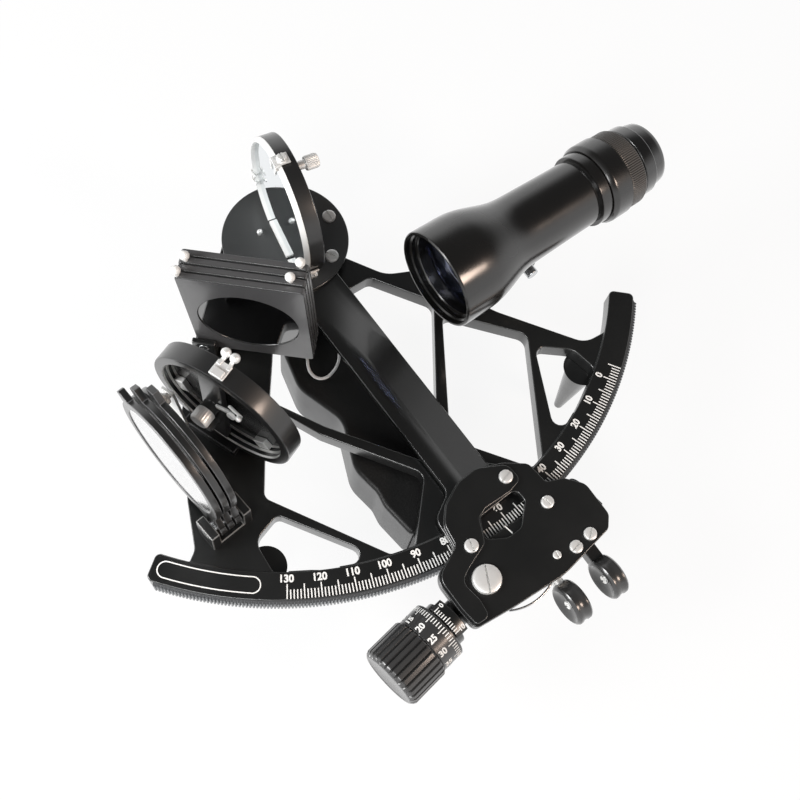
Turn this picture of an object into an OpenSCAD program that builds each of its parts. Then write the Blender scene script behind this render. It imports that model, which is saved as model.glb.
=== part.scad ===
// Marine sextant with a micrometer drum, lying face up on its three legs.
// The origin is on the pivot axis, level with the tips of the legs; the arm points along -Y.

/* [Frame] */
// Height of the scale face above the leg tips
face_z = 56; // [52:1:66]
// Radius of the outer ends of the scale marks
arc_r = 162; // [158:1:168]
// Width of the flat band that carries the scale
limb_w = 11.6; // [10:0.2:14]
// How far the scale band stands above the bars
limb_step = 1; // [0.5:0.1:2]
// Depth of the bars from front to back
bar_t = 8.5; // [7:0.5:9.5]
// Radius of the hub round the pivot
hub_r = 28; // [26:0.5:30]
// Reach of the rack's teeth past the scale band
rack_w = 1.5; // [1.2:0.1:2]
// Depth of a rack tooth
tooth_h = 0.9; // [0.6:0.1:1.1]

/* [Pivot] */
// Radius of the pivot shaft
shaft_r = 6; // [4:0.5:8]
// Wall of the bush round the pivot shaft
bush_wall = 4; // [3:0.5:6]
// Running clearance of a turning shaft in its bore
run_gap = 0.03; // [0.02:0.01:0.06]
// Gap left between flat faces that slide past each other
face_gap = 0.1; // [0.05:0.05:0.2]
// Radius of the cap behind the pivot
cap_r = 16; // [15:0.5:20]

/* [Legs and handle] */
// Radius of a leg at its root
leg_root_r = 7; // [5:0.5:9]
// Radius of a leg at its tip
leg_tip_r = 2.2; // [1.6:0.2:3]
// Thickness of the handle from front to back
handle_t = 32; // [28:1:33]
// Gap between the frame and the handle
handle_gap = 4.5; // [3.5:0.5:6]
// Radius of a battery cell
cell_r = 7.1; // [6.6:0.1:7.2]
// Length of a battery cell
cell_l = 50.5; // [48:0.5:51]
// Radius of the lead
lead_r = 0.7; // [0.5:0.1:0.8]

/* [Index arm] */
// Thickness of the arm plate
arm_t = 3; // [2:0.5:4]
// Gap between the scale face and the arm
arm_gap = 1; // [0.8:0.1:1.6]
// Width of the arm near the pivot
arm_w_top = 22.2; // [20:0.2:26]
// Width of the arm near the scale
arm_w_low = 21.8; // [18:0.2:24]
// Thickness of the lower cover plate
cover_t = 2.4; // [1.6:0.2:3]
// Thickness of the raised cover plate
raised_t = 1.6; // [1:0.2:2.4]
// Radius of the disc under the index mirror
disc_r = 28.6; // [26:0.2:32]
// Thickness of the disc under the index mirror
disc_t = 1.5; // [1:0.5:3]

/* [Micrometer] */
// Distance of the worm's axis outside the rack's teeth
worm_gap = 6.8; // [6.6:0.1:7.4]
// Outer radius of the worm
worm_r = 6.2; // [5.4:0.1:6.3]
// Depth of the worm's axis below the scale face
worm_drop = 5.5; // [5.4:0.1:6.4]
// Radius of the worm's shaft
worm_shaft_r = 2.5; // [2:0.1:2.6]
// Radius of the graduated drum
drum_r = 13; // [12:0.5:14]
// Length of the graduated drum
drum_l = 10.5; // [8:0.5:14]
// Radius of the fluted knob
knob_r = 14; // [13:0.5:15]
// Length of the fluted knob
knob_l = 19; // [16:0.5:24]
// Number of flutes round the knob
flutes = 30; // [20:1:40]
// Radius of a finger pad
pad_r = 9.3; // [8:0.1:10]
// Thickness of a finger pad
pad_t = 7; // [5:0.5:8]

/* [Mirrors] */
// Height of the line of sight above the scale face
sight_h = 34; // [34:0.5:40]
// Radius of the index mirror's ring
index_ring_r = 30.5; // [29:0.5:32]
// Depth of the index mirror's ring
index_ring_t = 8.8; // [7:0.2:10]
// Radius of the horizon mirror's ring
horizon_ring_r = 32.2; // [31:0.2:33]
// Depth of the horizon mirror's ring
horizon_ring_t = 8.5; // [7:0.5:10]
// Thickness of the mirror glasses
mirror_t = 2.5; // [2:0.5:3]

/* [Shades] */
// Thickness of a shade
shade_t = 2.8; // [2:0.2:3]
// Spacing of the index shades
index_pitch = 3.4; // [3.3:0.1:4]
// Spacing of the horizon shades
horizon_pitch = 3.6; // [3.3:0.05:4.2]
// Width of an index shade
index_shade_w = 50; // [46:1:54]
// Height of an index shade
index_shade_h = 59; // [54:0.5:62]
// Radius of the dark glass in an index shade
index_window_r = 20.5; // [16:0.5:21]
// Radius of a horizon shade's ring
horizon_shade_r = 28.5; // [27:0.5:31]
// Radius of the dark glass in a horizon shade
horizon_window_r = 24.6; // [22:0.2:26]
// Radius of the pins that the shades swing on
shade_pin_r = 2; // [1.5:0.1:2.2]

/* [Telescope] */
// Radius of the telescope's front rim
tele_front_r = 22.5; // [20:0.1:23]
// Radius of the narrow part of the telescope tube
tele_tube_r = 15.8; // [15:0.1:18]
// Wall of the telescope tube
tele_wall = 1.8; // [1.4:0.1:2.4]
// Radius of the knurled focus ring
focus_r = 18.7; // [17.5:0.1:20]
// Radius of the rubber eyecup
eyecup_r = 16.6; // [15:0.1:18]
// Radius of the sliding eyepiece tube
eyepiece_r = 12.6; // [11.6:0.1:12.8]
// Length of the telescope tube
tele_l = 79; // [76:1:86]

/* [Hidden] */

black = "#1c1d1e";
grey = "#8e9092";
steel = "#c9cbcd";
brass = "#b69a5c";
rubber = "#101010";
smoke = "#2b2b30";
mirror_white = "#dfe6ea";

// Levels
web_top = face_z - limb_step;
frame_back = web_top - bar_t;
arm_z = face_z + arm_gap;
arm_top = arm_z + arm_t;
cover_top = arm_top + cover_t;
raised_top = cover_top + raised_t;
disc_top = arm_top + disc_t;
sight_z = face_z + sight_h;
handle_top = frame_back - handle_gap;
handle_back = handle_top - handle_t;

// Plan of the frame
plan = arc_r / 162;
limb_out = arc_r + 0.6;
limb_in = limb_out - limb_w;
rack_out = limb_out + rack_w;
limb_left = -142.6;
limb_right = -41;
tooth_step = 0.5;
limb_soft = 2.4;
plan_inset = 4;
limb_parts = 90;
rack_inset = (limb_right - limb_left) / limb_parts;
upper_post = [0, 0];
left_leg_at = [-86, -119] * plan;
right_leg_at = [83, -121] * plan;

// Plan of the arm, the mirrors and the shades
rest_turn = 1.15;
arm_side = 1.25;
index_az = 170.5;
index_front = 3.8;
horizon_az = 22;
horizon_at = [-72.6, -66.8] * plan;
index_shade_az = 227;
index_shade_front = 57.9;
index_lean = 5;
horizon_shade_az = 7;
horizon_shade_at = [-98, -73.2] * plan;
index_pin = [24.2, arm_z + 6.6];
horizon_pin = [25, face_z + 11.5];
lens_r = tele_front_r - 2.9;
tele_y = -64 * plan;
tele_turn = 1.3;
tele_x = 39 * plan;
mirror_rim = 1.7;
horizon_rim_w = 4.5;

// Worm and drum, measured along the worm's axis from the point nearest the pivot
worm_side = 28.2;
worm_dist = rack_out + worm_gap;
worm_turn = asin(worm_side / worm_dist);
worm_z = face_z - worm_drop;
carrier_pivot = [-45.8, 0.4];
pivot_r = 3.5;
pivot_head_r = 6.2;
pivot_foot = 3.4;
worm_half = 11;
drum_end = -71;
knob_end = drum_end - drum_l - 0.2;
lug_t = 4;

function polar(r, a) = [r * cos(a), r * sin(a)];
function unit(v) = v / norm(v);
function wrap(a) = a > 180 ? a - 360 : a < -180 ? a + 360 : a;

// Corner p between neighbours a and b, rounded with radius p[2]
function corner(a, p, b, n) =
    let (
        at = [p.x, p.y],
        u = unit([a.x, a.y] - at),
        v = unit([b.x, b.y] - at),
        half = acos(u * v) / 2,
        mid = at + unit(u + v) * p[2] / sin(half),
        from = at + u * p[2] / tan(half) - mid,
        to = at + v * p[2] / tan(half) - mid,
        start = atan2(from.y, from.x),
        turn = wrap(atan2(to.y, to.x) - start)
    )
    p[2] == 0 ? [at] : [for (i = [0:n]) mid + polar(p[2], start + turn * i / n)];

function rounded(pts, n = 6) =
    [for (i = [0:len(pts) - 1])
        each corner(pts[(i + len(pts) - 1) % len(pts)], pts[i], pts[(i + 1) % len(pts)], n)];

function sized(pts, k) = [for (p = pts) [p.x * k, p.y * k, p[2]]];

function arc(r, from, to, n) = [for (i = [0:n]) polar(r, from + (to - from) * i / n)];

module shape(pts) {
    polygon(rounded(pts));
}

// Part of a flat ring with its four corners rounded
module band(r_in, r_out, from, to, soft, h) {
    n = limb_parts;
    step = (to - from) / n;
    linear_extrude(h)
        shape([for (side = [0, 1], i = [0:n])
            let (p = side == 0 ? polar(r_out, from + step * i) : polar(r_in, to - step * i))
            [p.x, p.y, i == 0 || i == n ? soft : 0]]);
}

module tube(r_out, r_in, h) {
    difference() {
        cylinder(r = r_out, h = h, $fn = 96);
        translate([0, 0, -1])
            cylinder(r = r_in, h = h + 2, $fn = 96);
    }
}

// Round piece about the X axis from a profile of [x, radius] points
module turned(pts) {
    rotate([90, 0, 90])
        rotate_extrude($fn = 96)
            polygon([for (p = pts) [p[1], p[0]]]);
}

// Local frame of a mirror or shade: x sideways, y up, z along the normal
module facing(az, at = [0, 0]) {
    translate([at.x, at.y, 0])
        rotate([90, 0, az + 90])
            mirror([1, 0, 0])
                children();
}

// Slotted screw head, its seat at z = 0
module screw_head(r, h, slot = 0.8) {
    difference() {
        cylinder(r = r, h = h, $fn = 48);
        translate([-r - 1, -slot / 2, h * 0.55])
            cube([2 * r + 2, slot, h]);
    }
}

// Frame

frame_outline = [
    [-21.5, 18, 0], [-60, -20, 12], [-82, -46, 20], [-99, -80, 20], [-107, -99, 6], [-114, -104, 4],
    [-100, -124, 0], [-54, -149, 0], [0, -158, 0], [54, -149, 0], [98, -124, 0], [114.5, -110, 0],
    [102, -114.4, 0], [88, -113.5, 10], [63, -79.5, 20], [52, -60, 4], [74, -60, 4], [74, -41, 4],
    [46.6, -43.5, 6], [30.6, -36.5, 14], [20, -20, 2],
];
hole_left_low = [[-85, -109.4, 6], [-71.6, -105, 3], [-46.1, -142.9, 4], [-66, -136.3, 0], [-85.6, -124.6, 3]];
hole_right_low = [[67, -102.4, 4], [81, -113.4, 8], [83.5, -126.2, 4], [66, -136.2, 0], [48, -142.6, 4]];
hole_left_mid = [
    [-56.5, -72.4, 5], [-46.2, -66.6, 4], [-37.2, -85.4, 10], [-10, -124, 5], [-31.5, -147.6, 4],
    [-41.8, -144.6, 4], [-72, -95.8, 4],
];
hole_right_mid = [[41.3, -66.2, 4], [67.8, -96, 5], [37.6, -145.6, 3], [31, -147.6, 3], [8.5, -117.5, 4]];
hole_top = [[-28, -34, 4], [-47, -60.4, 3], [-33.6, -83.2, 10], [-3.2, -124.5, 4], [41.2, -59.6, 5], [23.3, -34, 4]];

module frame_plan() {
    difference() {
        union() {
            circle(r = hub_r, $fn = 96);
            intersection() {
                polygon(rounded(sized(frame_outline, plan)));
                circle(r = limb_out - plan_inset, $fn = 180);
            }
        }
        for (hole = [hole_left_low, hole_right_low, hole_left_mid, hole_right_mid, hole_top])
            shape(sized(hole, plan));
    }
}

module frame() {
    color(black)
    difference() {
        union() {
            translate([0, 0, frame_back])
                linear_extrude(bar_t)
                    frame_plan();
            translate([0, 0, frame_back])
                band(limb_in, limb_out, limb_left, limb_right, limb_soft, bar_t + limb_step);
        }
        translate([0, 0, frame_back - 1])
            cylinder(r = shaft_r + bush_wall, h = bar_t + 2, $fn = 96);
    }
}

// One tooth on each half degree of arc, so the micrometer's turn is one degree of the scale
module rack() {
    teeth = floor((limb_right - limb_left - 2 * rack_inset) / tooth_step);
    color(steel)
    translate([0, 0, frame_back])
        linear_extrude(bar_t + limb_step - 0.4)
            polygon(concat(
                [for (i = [0:teeth - 1], k = [0:3])
                    polar(rack_out - (k == 0 || k == 3 ? tooth_h : 0),
                        limb_left + rack_inset + (i + [0.05, 0.3, 0.7, 0.95][k]) * tooth_step)],
                arc(limb_out, limb_right - rack_inset, limb_left + rack_inset, limb_parts - 2)));
}

module pivot_bush() {
    flange = arm_z - web_top - face_gap;
    color(brass)
    difference() {
        union() {
            translate([0, 0, frame_back])
                cylinder(r = shaft_r + bush_wall, h = bar_t, $fn = 96);
            translate([0, 0, web_top])
                cylinder(r = shaft_r + bush_wall + 4, h = flange, $fn = 96);
        }
        translate([0, 0, frame_back - 1])
            cylinder(r = shaft_r + run_gap, h = bar_t + flange + 2, $fn = 96);
    }
}

cap_h = 7;
nut_h = 3;

module bearing_cap() {
    color(black)
    difference() {
        translate([0, 0, frame_back - cap_h])
            cylinder(r = cap_r, h = cap_h, $fn = 96);
        translate([0, 0, frame_back - nut_h - 1])
            cylinder(r = shaft_r + bush_wall + 0.5, h = nut_h + 2, $fn = 96);
    }
}

// Leg standing on z = 0 with its root at height h
module leg(h) {
    rotate_extrude($fn = 48)
        polygon(concat(
            [[0, 0], [leg_tip_r * 0.7, 0]],
            [for (a = [-45:15:0]) [leg_tip_r * cos(a), leg_tip_r * (0.71 + sin(a))]],
            [[leg_root_r, h - 3]],
            [for (a = [180:-15:90]) [leg_root_r + 2 + 2 * cos(a), h - 2 + 2 * sin(a)]],
            [[0, h]]));
}

module upper_leg() {
    color(black)
    translate([upper_post.x, upper_post.y, 0])
        leg(frame_back - cap_h);
}

module lower_legs() {
    color(black)
    for (at = [left_leg_at, right_leg_at])
        translate([at.x, at.y, 0])
            leg(frame_back);
}

// Handle

handle_cap_y = -141;
handle_outline = [
    [4, -31, 7], [4, -141, 0], [-27, -141, 0], [-29.5, -124, 12], [-28.5, -117, 8],
    [-31, -103, 14], [-22.5, -81, 12], [-30.5, -58, 14], [-25, -31, 8],
];
cell_at = [-11.5, handle_back + handle_t / 2];
cell_front = handle_cap_y + 1.5;
button_y = -70;
button_r = 4;
button_h = 3.6;
handle_right = 4;

module handle_shell() {
    color(black)
    difference() {
        union() {
            translate([0, 0, handle_back])
                linear_extrude(handle_t)
                    shape(handle_outline);
            translate([0, 0, handle_top - 5])
                linear_extrude(5)
                    shape([[-3, -21, 3], [-3, -40, 0], [-17, -40, 0], [-17, -21, 3]]);
        }
        translate([cell_at.x, handle_cap_y - 1, cell_at.y])
            rotate([-90, 0, 0])
                cylinder(r = cell_r + 0.3, h = 2 * cell_l + 5, $fn = 64);
        translate([cell_at.x + cell_r, button_y, cell_at.y])
            rotate([0, 90, 0])
                cylinder(r = button_r + run_gap, h = 20, $fn = 64);
    }
}

module handle_cap() {
    color(black)
    translate([-26, handle_cap_y - 3.5, handle_back + 2])
        cube([28, 3.5, handle_t - 4]);
}

module handle_posts() {
    color(steel)
    for (at = [[-10, -27], [-9, -137]])
        translate([at.x, at.y, handle_top])
            cylinder(r = 4, h = handle_gap, $fn = 48);
}

module battery_cells() {
    color(grey)
    for (i = [0, 1])
        translate([cell_at.x, cell_front + i * (cell_l + 0.6), cell_at.y])
            rotate([-90, 0, 0]) {
                cylinder(r = cell_r, h = cell_l - 1, $fn = 64);
                cylinder(r = 2.6, h = cell_l, $fn = 32);
            }
}

module lamp_button() {
    color(rubber)
    translate([handle_right + 2 - button_h, button_y, cell_at.y])
        rotate([0, 90, 0])
            cylinder(r = button_r, h = button_h, $fn = 64);
}

// Route of the lead from the handle to the hub's lower edge
lead_route = [
    [-19, -45, handle_top], [-19, -45, handle_top + 1.5], [-19.4, -46.5, handle_top + 3.2],
    [-20.4, -49.5, 46], [-22.2, -53, 46.5], [-22.9, -56.5, 46.5], [-21.8, -60, 46.5],
    [-18.5, -61.8, 46.5], [-14.5, -61.2, 46.5], [-10.8, -59.3, 46.5], [-7.9, -56.5, 47],
    [-5.8, -52.5, 47.5], [-4.4, -48, 48.3], [-3.6, -43.5, 49.2], [-3.2, -39, 50],
    [-3, -36, 50.2], [-3, -34 * plan, 50.2],
];

module lead() {
    n = len(lead_route);
    sides = 8;
    dirs = [for (i = [0:n - 1])
        i == 0 ? [0, 0, 1] : i == n - 1 ? [0, 1, 0] : unit(lead_route[i + 1] - lead_route[i - 1])];
    rings = [for (i = [0:n - 1])
        let (
            side = unit(cross(dirs[i], [0.9, 0.3, 0.1])),
            up = cross(side, dirs[i])
        )
        for (k = [0:sides - 1])
            lead_route[i] + lead_r * (side * cos(45 * k) + up * sin(45 * k))];
    color("#b8b8ba")
    polyhedron(rings, concat(
        [[for (k = [0:sides - 1]) k]],
        [for (i = [0:n - 2], k = [0:sides - 1])
            [i * sides + k, (i + 1) * sides + k, (i + 1) * sides + (k + 1) % sides,
                i * sides + (k + 1) % sides]],
        [[for (k = [sides - 1:-1:0]) (n - 1) * sides + k]]));
}

// Telescope, its axis along X

module telescope_place() {
    translate([tele_x, tele_y, sight_z])
        rotate(tele_turn)
            translate([-tele_x, 0, 0])
                children();
}

tele_waist = tele_x + 33;
sleeve_x = tele_x + tele_l - 5;
focus_x = sleeve_x + 5.2;
focus_l = 20;
eyepiece_x = focus_x + focus_l + 0.6;

tele_profile = [
    [tele_x, tele_front_r - 0.1], [tele_x + 14, tele_front_r - 0.5],
    [tele_x + 23, (tele_front_r + tele_tube_r) / 2 + 1.2], [tele_waist, tele_tube_r + 0.7],
    [tele_x + 47, tele_tube_r], [sleeve_x - 2, tele_tube_r - 0.6],
];

module telescope_tube() {
    foot_w = 16;
    color(black)
    telescope_place()
    difference() {
        union() {
            turned(concat(
                [[tele_x, 0]], tele_profile,
                [[sleeve_x - 2, tele_tube_r - 1.4], [sleeve_x, tele_tube_r - 1.4],
                    [sleeve_x, tele_tube_r + 1], [focus_x - 0.2, tele_tube_r + 1],
                    [focus_x - 0.2, eyepiece_r + 1.6], [focus_x + focus_l - 4, eyepiece_r + 1.6],
                    [focus_x + focus_l - 4, 0]]));
            translate([tele_x + 30, -foot_w / 2, -tele_tube_r - 3])
                cube([17, foot_w, 8]);
        }
        turned([[tele_x - 1, 0], [tele_x - 1, lens_r + 0.5], [tele_x + 9, lens_r + 0.5],
            [tele_x + 9, lens_r - 1], [tele_x + 16, lens_r - 1.5],
            [tele_waist + 3, tele_tube_r - tele_wall], [sleeve_x - 4, tele_tube_r - tele_wall - 0.6],
            [sleeve_x - 1, eyepiece_r + run_gap], [focus_x + focus_l, eyepiece_r + run_gap],
            [focus_x + focus_l, 0]]);
    }
}

module objective_ring() {
    color(black)
    telescope_place()
        turned([[tele_x - 6, tele_front_r - 1.6], [tele_x - 6, tele_front_r - 0.6],
            [tele_x - 5.4, tele_front_r], [tele_x, tele_front_r], [tele_x, lens_r + 0.5],
            [tele_x + 2, lens_r + 0.5], [tele_x + 2, lens_r - 1], [tele_x - 3, lens_r - 1],
            [tele_x - 3, tele_front_r - 1.6]]);
}

module objective_lens() {
    lens_x = tele_x + 2.2;
    bulge = 60;
    color("#6d7f92", 0.6)
    telescope_place()
    intersection() {
        turned([[lens_x, 0], [lens_x, lens_r], [lens_x + 6.6, lens_r], [lens_x + 6.6, 0]]);
        translate([lens_x + bulge, 0, 0])
            sphere(r = bulge, $fn = 128);
    }
}

module focus_ring() {
    r_in = eyepiece_r + 1.6 + run_gap;
    color(black)
    telescope_place()
        turned([[focus_x, r_in], [focus_x, focus_r - 1.2], [focus_x + 1.5, focus_r],
            [focus_x + focus_l - 5, focus_r - 0.4], [focus_x + focus_l - 3, focus_r - 2],
            [focus_x + focus_l, focus_r - 2.2], [focus_x + focus_l, r_in]]);
}

module eyepiece_tube() {
    color(steel)
    telescope_place()
        turned([[sleeve_x + 2, eyepiece_r - 1.8], [sleeve_x + 2, eyepiece_r],
            [eyepiece_x + 12, eyepiece_r], [eyepiece_x + 12, eyepiece_r - 1.8]]);
}

module eyepiece_lens() {
    color("#6d7f92", 0.6)
    telescope_place()
        turned([[eyepiece_x + 4, 0], [eyepiece_x + 4, eyepiece_r - 1.8],
            [eyepiece_x + 7, eyepiece_r - 1.8], [eyepiece_x + 7, 0]]);
}

module eyecup() {
    color(rubber)
    telescope_place()
        turned([[eyepiece_x, eyepiece_r], [eyepiece_x, eyecup_r], [eyepiece_x + 6, eyecup_r - 0.5],
            [eyepiece_x + 11, eyecup_r - 1.6], [eyepiece_x + 13, eyecup_r - 2.4],
            [eyepiece_x + 13, eyepiece_r - 1.5], [eyepiece_x + 12, eyepiece_r - 1.5],
            [eyepiece_x + 12, eyepiece_r]]);
}

saddle_top = sight_z - tele_tube_r - 3;
saddle_t = 7;
saddle_x = [tele_x + 28.5, tele_x + 48];
saddle_y = [tele_y - 9, tele_y + 16];
post_at = [tele_x + 20, tele_y + 7.5];
clamp_x = tele_x + 43;
clamp_r = 1.5;
clamp_in = 10;

module telescope_bracket() {
    color(black)
    difference() {
        union() {
            translate([post_at.x - 3.5, post_at.y - 0.5, web_top])
                cube([18, 16, 3]);
            translate([post_at.x, post_at.y, web_top])
                cube([13, 11, saddle_top - saddle_t - web_top]);
            translate([post_at.x, post_at.y, saddle_top - saddle_t - 4])
                cube([saddle_x[1] - post_at.x, 11, 4]);
            translate([saddle_x[0], saddle_y[0], saddle_top - saddle_t])
                cube([saddle_x[1] - saddle_x[0], saddle_y[1] - saddle_y[0], saddle_t]);
        }
        translate([clamp_x, saddle_y[0] - 1, saddle_top - saddle_t / 2])
            rotate([-90, 0, 0])
                cylinder(r = clamp_r + run_gap, h = clamp_in + 1.5, $fn = 48);
    }
}

module telescope_clamp() {
    head_l = 4.3;
    color(steel)
    translate([clamp_x, saddle_y[0] - head_l - face_gap, saddle_top - saddle_t / 2])
        rotate([-90, 0, 0])
            union() {
                cylinder(r = 2.8, h = head_l, $fn = 48);
                cylinder(r = clamp_r, h = head_l + clamp_in, $fn = 48);
            }
}

// Horizon mirror

module horizon_place() {
    facing(horizon_az, horizon_at)
        children();
}

base_top = sight_z - horizon_ring_r + 2.2;
horizon_seat = base_top - sight_z;
base_side = [-19, 6.5];

module horizon_mirror_base() {
    color(black)
    horizon_place()
        translate([base_side[0], web_top, -3])
            cube([base_side[1] - base_side[0], base_top - web_top, horizon_ring_t + 5.5]);
}

// Ring with its foot cut flat, open at the back where the adjuster sits
module horizon_mirror_ring() {
    color(black)
    horizon_place()
    intersection() {
        translate([0, sight_z, 0])
            difference() {
                cylinder(r = horizon_ring_r, h = horizon_ring_t, $fn = 128);
                translate([0, 0, horizon_ring_t - mirror_t - 0.1])
                    cylinder(r = horizon_ring_r - mirror_rim, h = mirror_t + 1, $fn = 128);
                translate([0, 0, -1])
                    cylinder(r = horizon_ring_r - horizon_rim_w, h = horizon_ring_t + 2, $fn = 128);
            }
        translate([-50, base_top, -1])
            cube([100, 80, horizon_ring_t + 2]);
    }
}

module horizon_mirror_glass() {
    color(mirror_white)
    horizon_place()
        translate([0, sight_z, horizon_ring_t - mirror_t - 0.1])
            intersection() {
                cylinder(r = horizon_ring_r - mirror_rim - 0.1, h = mirror_t, $fn = 128);
                translate([-50, horizon_seat + 0.4, -1])
                    cube([100, 80, 10]);
            }
}

// Spring clip bent over the rim of a mirror ring of radius r and depth t, turned to the angle a
module rim_clip(r, t, a, w) {
    rotate(a)
        translate([r - 5, -w / 2, 0])
            union() {
                translate([5, 0, 0.6])
                    cube([0.8, w, t + 0.2]);
                translate([0, 0, t])
                    cube([5.8, w, 0.8]);
                translate([5.8, w / 2, t / 2 - 0.5])
                    rotate([0, 90, 0])
                        cylinder(r = w * 0.32, h = 1.6, $fn = 32);
            }
}

clip_w = 5;

// One clip over the rim and two inside that press on the back of the glass
module horizon_mirror_clips() {
    glass_back = horizon_ring_t - mirror_t - 0.1;
    inner_r = horizon_ring_r - horizon_rim_w;
    color(steel)
    horizon_place()
        translate([0, sight_z, 0]) {
            rim_clip(horizon_ring_r, horizon_ring_t, 90, clip_w);
            for (a = [-50, 205])
                intersection() {
                    rotate(a)
                        translate([inner_r - 5, -3.5, glass_back - 2.6])
                            cube([6, 7, 2.5]);
                    cylinder(r = inner_r, h = horizon_ring_t, $fn = 128);
                }
        }
}

// Bridge across the back of the ring with its two adjusting screws
module horizon_mirror_adjuster() {
    bridge_t = 3;
    color(steel)
    horizon_place()
        translate([0, sight_z, 0]) {
            intersection() {
                translate([-9, -horizon_ring_r, 0.2])
                    cube([10, 2 * horizon_ring_r, bridge_t]);
                cylinder(r = horizon_ring_r - horizon_rim_w, h = 10, $fn = 128);
            }
            translate([-4, 3, -6])
                cylinder(r = 3.6, h = 6.3, $fn = 48);
            translate([-4, -12, -5])
                cylinder(r = 2.6, h = 5.3, $fn = 48);
        }
}

// Horizon shades

module horizon_shade_place(i) {
    facing(horizon_shade_az, horizon_shade_at)
        translate([0, 0, i * horizon_pitch - shade_t / 2])
            children();
}

module horizon_shade_plan(tab) {
    pin = [horizon_pin[0], horizon_pin[1] - sight_z];
    difference() {
        union() {
            circle(r = horizon_shade_r, $fn = 128);
            translate(pin)
                circle(r = 5, $fn = 48);
            polygon([[14, -24], pin + [-3.6, -3.5], pin + [3.6, 3.5], [26, -10]]);
            rotate(tab)
                translate([horizon_shade_r - 1, -3.5])
                    square([6, 7]);
        }
        translate(pin)
            circle(r = shade_pin_r + run_gap, $fn = 48);
    }
}

horizon_tabs = [147, 133, 119];

module horizon_shade(i) {
    color(black)
    horizon_shade_place(i)
        translate([0, sight_z, 0])
            difference() {
                linear_extrude(shade_t)
                    horizon_shade_plan(horizon_tabs[i]);
                translate([0, 0, -1])
                    cylinder(r = horizon_window_r, h = shade_t + 2, $fn = 128);
            }
}

module horizon_glass(i) {
    color(smoke)
    horizon_shade_place(i)
        translate([0, sight_z, 0.4])
            cylinder(r = horizon_window_r, h = shade_t - 0.8, $fn = 128);
}

module horizon_shade_1() { horizon_shade(0); }
module horizon_shade_2() { horizon_shade(1); }
module horizon_shade_3() { horizon_shade(2); }
module horizon_glass_1() { horizon_glass(0); }
module horizon_glass_2() { horizon_glass(1); }
module horizon_glass_3() { horizon_glass(2); }

// A cheek on each side of a stack of shades and a foot that joins them on the frame
cheek_t = 2.6;
cheek_gap = 0.4;
horizon_cheek_t = 4;
horizon_cheek_gap = 0.8;

module horizon_shade_bracket() {
    near = -shade_t / 2 - horizon_cheek_gap - horizon_cheek_t;
    far = 2 * horizon_pitch + shade_t / 2 + horizon_cheek_gap;
    side = horizon_pin[0] - 5.5;
    w = 10.5;
    color(black)
    facing(horizon_shade_az, horizon_shade_at)
    difference() {
        union() {
            for (z = [near, far])
                translate([side, web_top, z])
                    cube([w, horizon_pin[1] - web_top + 3, horizon_cheek_t]);
            translate([side, web_top, near])
                cube([w, 3, far + horizon_cheek_t - near]);
        }
        translate([horizon_pin[0], horizon_pin[1], near - 1])
            cylinder(r = shade_pin_r, h = far - near + 6, $fn = 48);
    }
}

// Index shades

index_low = -4;
index_left = 3.2;
index_centre = [index_left - index_shade_w / 2, index_low + index_shade_h / 2 - 1.3];

// Index shade i, measured from its pin and leaning as photographed
module index_shade_place(i) {
    facing(index_shade_az)
        translate([index_pin.x, index_pin.y, index_shade_front - i * index_pitch - shade_t])
            rotate(-index_lean)
                children();
}

module index_shade(i) {
    left = index_left;
    right = index_left - index_shade_w;
    top = index_low + index_shade_h;
    pin_side = i % 2 == 0 ? left - 3 - i : right + 5 + i;
    color(black)
    index_shade_place(i)
    union() {
        difference() {
            linear_extrude(shade_t)
                shape([[right, index_low, 1.5], [left, index_low, 1.5], [left, top, 1.5], [right, top, 1.5]]);
            translate([index_centre.x, index_centre.y, -1])
                cylinder(r = index_window_r, h = shade_t + 2, $fn = 128);
            translate([0, 0, -1])
                cylinder(r = shade_pin_r + run_gap, h = shade_t + 2, $fn = 48);
        }
        translate([pin_side, top, shade_t / 2])
            rotate([-90, 0, 0])
                cylinder(r = 0.8, h = 2.4, $fn = 32);
        translate([pin_side, top + 3.4, shade_t / 2])
            sphere(r = 1.6, $fn = 32);
    }
}

module index_glass(i) {
    color(smoke)
    index_shade_place(i)
        translate([index_centre.x, index_centre.y, 0.4])
            cylinder(r = index_window_r, h = shade_t - 0.8, $fn = 128);
}

module index_shade_1() { index_shade(0); }
module index_shade_2() { index_shade(1); }
module index_shade_3() { index_shade(2); }
module index_shade_4() { index_shade(3); }
module index_glass_1() { index_glass(0); }
module index_glass_2() { index_glass(1); }
module index_glass_3() { index_glass(2); }
module index_glass_4() { index_glass(3); }

index_rear = index_shade_front - 3 * index_pitch - shade_t;

module index_shade_bracket() {
    near = index_rear - cheek_gap - cheek_t;
    far = index_shade_front + cheek_gap;
    color(black)
    facing(index_shade_az)
    difference() {
        union() {
            for (z = [near, far])
                translate([index_pin[0] - 5, web_top, z])
                    cube([10, index_pin[1] - web_top + 4, cheek_t]);
            translate([index_pin[0] - 5, web_top, near])
                cube([10, 3, far + cheek_t - near]);
        }
        translate([index_pin[0], index_pin[1], near - 1])
            cylinder(r = shade_pin_r, h = far - near + 6, $fn = 48);
    }
}

module shade_pins() {
    index_over = cheek_gap + cheek_t;
    horizon_over = horizon_cheek_gap + horizon_cheek_t;
    color(steel) {
        facing(index_shade_az)
            translate([index_pin[0], index_pin[1], index_rear - index_over])
                cylinder(r = shade_pin_r, h = index_shade_front - index_rear + 2 * index_over, $fn = 48);
        facing(horizon_shade_az, horizon_shade_at)
            translate([horizon_pin[0], horizon_pin[1], -shade_t / 2 - horizon_over])
                cylinder(r = shade_pin_r, h = 2 * horizon_pitch + shade_t + 2 * horizon_over, $fn = 48);
    }
}

// Index arm

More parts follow.
